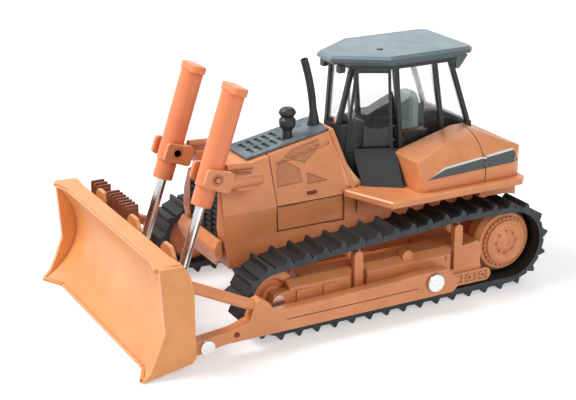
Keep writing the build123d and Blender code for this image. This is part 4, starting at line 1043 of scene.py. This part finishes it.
@dataclass
class BladeTrim:
    """What the blade's solids leave out: dished wings, and gussets and ribbed guards on its back.

    Attributes:
        fold: x of the fold between the centre and a wing.
        half: the blade's half width.
        height: the blade's height.
        dish: how much deeper the wings are dished at their tips.
        gussets: x of the middles of the gussets behind the lip.
        gusset: x and z of a gusset's corners, from its middle.
        guards: x of the middle, half width and top z of each ribbed guard, both on the right.
        guard_foot: z of the guards' foot.
        rib_half: half width of a rib.
        ribs_per_mm: number of ribs for each millimetre of half width.
        back: y of the back of the lip.
    """

    fold: float = 27.6
    half: float = 35.2
    height: float = 27.2
    dish: float = 2.6
    gussets: tuple[float, ...] = (-21.4, 0.4, 21.4)
    gusset: tuple[tuple[float, float], ...] = (
        (-4.0, 21.0), (-3.4, 25.8), (-1.8, 27.4), (2.0, 27.4), (3.6, 25.4), (4.0, 21.0),
    )
    guards: tuple[tuple[float, float, float], ...] = ((-26.4, 3.4, 27.2), (-11.4, 7.2, 27.6))
    guard_foot: float = 22.4
    rib_half: float = 0.4
    ribs_per_mm: float = 1.1
    back: float = -46.9

    def wings(self, nodes: dict[str, bpy.types.Object], paints: "Dressing") -> None:
        """Replace the mouldboard by a copy whose wings are dished deeper.

        Args:
            nodes: the frame's node objects.
            paints: the store of finishes.
        """
        shape = bmesh.new()
        shape.from_mesh(nodes["mouldboard"].data)
        bmesh.ops.remove_doubles(shape, verts=shape.verts, dist=1e-6)
        for vertex in shape.verts:
            out = (abs(vertex.co.x) / MM - self.fold) / (self.half - self.fold)
            rise = min(max(vertex.co.z / MM / self.height, 0.0), 1.0)
            if out > 0.02:
                vertex.co.y += self.dish * MM * out * math.sin(math.pi * rise)
        mesh = bpy.data.meshes.new("mouldboard_skin")
        shape.to_mesh(mesh)
        shape.free()
        piece = load_piece(
            "mouldboard_skin", mesh, paints.material(BLADE_ENAMEL_SHEEN), Body.BLADE
        )
        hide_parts("mouldboard")

    def backs(self, paints: "Dressing") -> None:
        """Stand the gussets and the ribbed guards behind the lip.

        Args:
            paints: the store of finishes.
        """
        gussets = bmesh.new()
        for middle in self.gussets:
            outline = [(middle + x, z) for x, z in self.gusset]
            extrude_plate(gussets, outline, self.back - 0.3, self.back + 0.7)
        load_piece(
            "blade_gussets", mesh_from("blade_gussets", gussets), paints.material(BLADE_ENAMEL_SHEEN),
            Body.BLADE,
        )
        # the guards take the shaded enamel: painted shade on the blade's back
        guards = bmesh.new()
        for middle, half, top in self.guards:
            block = self.upright(middle, half, self.guard_foot, top)
            extrude_plate(guards, block, self.back + 0.2, self.back + 3.0)
            count = int(half * self.ribs_per_mm)
            for index in range(count):
                x = middle - half + (2 * index + 1) * half / count
                rib = self.upright(x, self.rib_half, self.guard_foot + 0.4, top + 0.6)
                extrude_plate(guards, rib, self.back + 0.1, self.back + 3.6)
        load_piece(
            "blade_guards", mesh_from("blade_guards", guards), paints.material(SHADED_ENAMEL), Body.BLADE,
        )

    def upright(self, middle: float, half: float, foot: float, top: float) -> Outline:
        """Lay out an upright rectangle.

        Args:
            middle: x of its middle.
            half: its half width.
            foot: z of its foot.
            top: z of its top.

        Returns:
            x and z of its corners, in millimetres.
        """
        return [(middle - half, foot), (middle - half, top), (middle + half, top), (middle + half, foot)]

    def build(self, nodes: dict[str, bpy.types.Object], paints: "Dressing") -> None:
        """Make all of the blade's trim.

        Args:
            nodes: the frame's node objects.
            paints: the store of finishes.
        """
        self.wings(nodes, paints)
        self.backs(paints)


@dataclass
class CylinderTrim:
    """Bolts on dark seats of painted shade at the ends of the lift cylinders' trunnions.

    Attributes:
        y: y of the trunnions' axis.
        z: its z.
        seat_radius: radius of the dark seat.
        head_radius: radius of the bolt's head.
    """

    y: float = -31.2
    z: float = 39.0
    seat_radius: float = 1.0
    head_radius: float = 0.62

    def build(self, nodes: dict[str, bpy.types.Object], paints: "Dressing") -> None:
        """Set a bolt on each end of both trunnions.

        Args:
            nodes: the frame's node objects.
            paints: the store of finishes.
        """
        for (side, word), body in zip(SIDES, (Body.BARREL_LEFT, Body.BARREL_RIGHT)):
            surface = surface_of([nodes[f"cylinder_{word}"]])
            ends = []
            for start, way in ((side * OUTSIDE, -side), (0.0, side)):
                origin = Vector((start, self.y * MM, self.z * MM))
                ends.append(surface.ray_cast(origin, Vector((way, 0, 0)))[0])
            points = bpy.data.meshes.new("trunnion_ends")
            points.from_pydata(ends, [], [])
            # the dark seats round the bolts are painted shade
            seats = Repeater("bolt_seats", 24).run(
                points, self.seat_radius, 0.16, paints.material(SHADED_ENAMEL)
            )
            join_pieces(
                f"trunnion_seats_{word}", [seats], paints.material(SHADED_ENAMEL), body
            )
            heads = Repeater("trunnion_heads", 6).run(
                points.copy(), self.head_radius, 0.5, paints.material(ENAMEL)
            )
            join_pieces(f"trunnion_bolts_{word}", [heads], paints.material(ENAMEL), body)


@dataclass
class Fasteners:
    """Small bolt heads on the track frames and the sprocket hubs.

    Attributes:
        frame_bolts: y and z of the bolts on the track frame's boxes.
        hub_bolts: number of bolts on each sprocket hub.
        hub_circle: radius of their circle.
        radius: radius of a head.
        height: height of a head.
    """

    frame_bolts: tuple[tuple[float, float], ...] = ((4.0, 8.6), (4.0, 11.8), (27.4, 8.6), (27.4, 11.8))
    hub_bolts: int = 8
    hub_circle: float = 3.0
    radius: float = 0.38
    height: float = 0.5

    def build(self, nodes: dict[str, bpy.types.Object], paints: "Dressing") -> None:
        """Set the heads on the surfaces that carry them.

        Args:
            nodes: the frame's node objects.
            paints: the store of finishes.
        """
        low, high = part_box("sprocket_left")
        hub_y, hub_z = (low[1] + high[1]) / 2 / MM, (low[2] + high[2]) / 2 / MM
        circle = [2 * math.pi * index / self.hub_bolts for index in range(self.hub_bolts)]
        hub = [
            (hub_y + self.hub_circle * math.cos(turn), hub_z + self.hub_circle * math.sin(turn))
            for turn in circle
        ]
        places = []
        for side, word in SIDES:
            for spots, name in ((self.frame_bolts, f"track_frame_{word}"), (hub, f"sprocket_{word}")):
                surface = surface_of([nodes[name]])
                for y, z in spots:
                    origin = Vector((side * OUTSIDE, y * MM, z * MM))
                    hit = surface.ray_cast(origin, Vector((-side, 0, 0)))[0]
                    if hit:
                        places.append(hit)
        points = bpy.data.meshes.new("bolt_places")
        points.from_pydata(places, [], [])
        heads = Repeater("bolt_heads", 6).run(points, self.radius, self.height, paints.material(ENAMEL))
        join_pieces("bolt_heads", [heads], paints.material(ENAMEL))


@dataclass(frozen=True)
class SoftLight:
    """Square soft light that points at the model.

    Attributes:
        name: the light's name.
        place: its place in metres.
        size: its side in metres.
        watts: its power.
    """

    name: str
    place: tuple[float, float, float]
    size: float
    watts: float

    def hang(self) -> None:
        """Hang the light and point it at the model's middle."""
        data = bpy.data.lights.new(self.name, "AREA")
        data.size = self.size
        data.energy = self.watts
        item = bpy.data.objects.new(self.name, data)
        item.location = self.place
        way = Vector((0, 0, 0.03)) - Vector(self.place)
        item.rotation_mode = "QUATERNION"
        item.rotation_quaternion = way.to_track_quat("-Z", "Y")
        bpy.context.scene.collection.objects.link(item)


def seen_directly(tree: bpy.types.NodeTree) -> bpy.types.NodeSocket:
    """Tell the camera's view, and what shows in and through the model, from other light.

    Args:
        tree: the tree of the floor or of the surround.

    Returns:
        A value that is one for rays of the camera, of glossy reflection and of transmission.
    """
    path = add_node(tree, "ShaderNodeLightPath")
    value = path.outputs["Is Camera Ray"]
    for name in ("Is Transmission Ray", "Is Glossy Ray"):
        value = add_node(
            tree, "ShaderNodeMath", {"operation": "MAXIMUM"}, in0=value, in1=path.outputs[name]
        ).outputs[0]
    return value


@dataclass
class Studio:
    """Pale floor, soft lights and the camera of the photograph.

    Attributes:
        focal_px: focal length in pixels of a frame 576 wide.
        azimuth: camera's turn from straight ahead of the blade, in degrees.
        elevation: camera's height above the horizon, in degrees.
        roll: camera's roll, in degrees.
        place: camera's place in millimetres.
        frame_width: the picture's width in pixels.
        floor_lift: how much the floor is lifted towards white for the camera and in reflections.
        ambient: strength of the even surround.
        floor_half: half the floor's width in metres.
        sensor_mm: width of the camera's sensor.
        lights: the soft lights.
    """

    focal_px: float = 1406.7
    azimuth: float = 61.93
    elevation: float = 19.87
    roll: float = -0.13
    place: tuple[float, float, float] = (304.845, -166.044, 148.900)
    frame_width: int = 576
    floor_lift: float = 0.45
    ambient: float = 0.34
    floor_half: float = 3.0
    sensor_mm: float = 36.0
    lights: tuple[SoftLight, ...] = (
        SoftLight("key", (-0.20, -0.42, 0.62), 0.35, 4.9),
        SoftLight("fill", (0.75, 0.05, 0.45), 0.6, 2.1),
        SoftLight("rim", (-0.5, 0.5, 0.6), 0.6, 1.6),
    )

    def camera(self) -> None:
        """Set the camera where the photograph was taken from."""
        data = bpy.data.cameras.new("camera")
        data.sensor_width = self.sensor_mm
        data.lens = self.focal_px / self.frame_width * self.sensor_mm
        data.clip_start = 0.01
        data.clip_end = 20.0
        item = bpy.data.objects.new("camera", data)
        bpy.context.scene.collection.objects.link(item)
        turn = math.radians(self.azimuth)
        rise = math.radians(self.elevation)
        back = Vector((math.sin(turn) * math.cos(rise), -math.cos(turn) * math.cos(rise), math.sin(rise)))
        item.rotation_mode = "QUATERNION"
        level = (-back).to_track_quat("-Z", "Y")
        item.rotation_quaternion = level @ Matrix.Rotation(math.radians(self.roll), 3, "Z").to_quaternion()
        item.location = Vector(self.place) * MM
        bpy.context.scene.camera = item

    def floor(self) -> None:
        """Lay a pale floor that shows white to the camera but keeps the shadow."""
        mesh = bpy.data.meshes.new("floor")
        half = self.floor_half
        corners = [(-half, -half, 0), (half, -half, 0), (half, half, 0), (-half, half, 0)]
        mesh.from_pydata(corners, [], [(0, 1, 2, 3)])
        item = bpy.data.objects.new("floor", mesh)
        bpy.context.scene.collection.objects.link(item)
        material = bpy.data.materials.new("pale_floor")
        material.use_nodes = True
        tree = material.node_tree
        shader = tree.nodes["Principled BSDF"]
        shader.inputs["Base Color"].default_value = linear("E4E4E4")
        shader.inputs["Roughness"].default_value = 0.75
        lift = add_node(
            tree, "ShaderNodeMath", {"operation": "MULTIPLY"}, in0=seen_directly(tree), in1=self.floor_lift
        )
        tree.links.new(lift.outputs[0], shader.inputs["Emission Strength"])
        shader.inputs["Emission Color"].default_value = linear("FFFFFF")
        mesh.materials.append(material)

    def world(self) -> None:
        """Give an even pale surround, white to the camera."""
        world = bpy.data.worlds.new("studio")
        world.use_nodes = True
        tree = world.node_tree
        tree.nodes.clear()
        ambient = add_node(tree, "ShaderNodeBackground", Color=linear("F4F6F8"), Strength=self.ambient)
        white = add_node(tree, "ShaderNodeBackground", Color=linear("FFFFFF"), Strength=1.0)
        mix = add_node(
            tree, "ShaderNodeMixShader", in0=seen_directly(tree), in1=ambient.outputs[0],
            in2=white.outputs[0],
        )
        out = add_node(tree, "ShaderNodeOutputWorld")
        tree.links.new(mix.outputs[0], out.inputs["Surface"])
        bpy.context.scene.world = world

    def build(self) -> None:
        """Set up the whole studio."""
        bpy.context.scene.view_settings.view_transform = "Standard"
        self.camera()
        self.floor()
        self.world()
        for light in self.lights:
            light.hang()


def main() -> None:
    """Load the frame, dress it and add what the solids leave out."""
    logging.basicConfig(level=logging.INFO)
    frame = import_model()
    nodes = frame["nodes"]
    Studio().build()
    paints = Dressing(nodes)
    paints.dress()
    HoodTrim().build(nodes, paints)
    TankStripe().build(nodes, paints)
    CabSkirt().build(nodes, paints)
    CabTub().build(paints)
    BladeTrim().build(nodes, paints)
    CylinderTrim().build(nodes, paints)
    Fasteners().build(nodes, paints)
    LOG.info("dressed %d nodes", len(nodes))


if __name__ == "__main__":
    main()
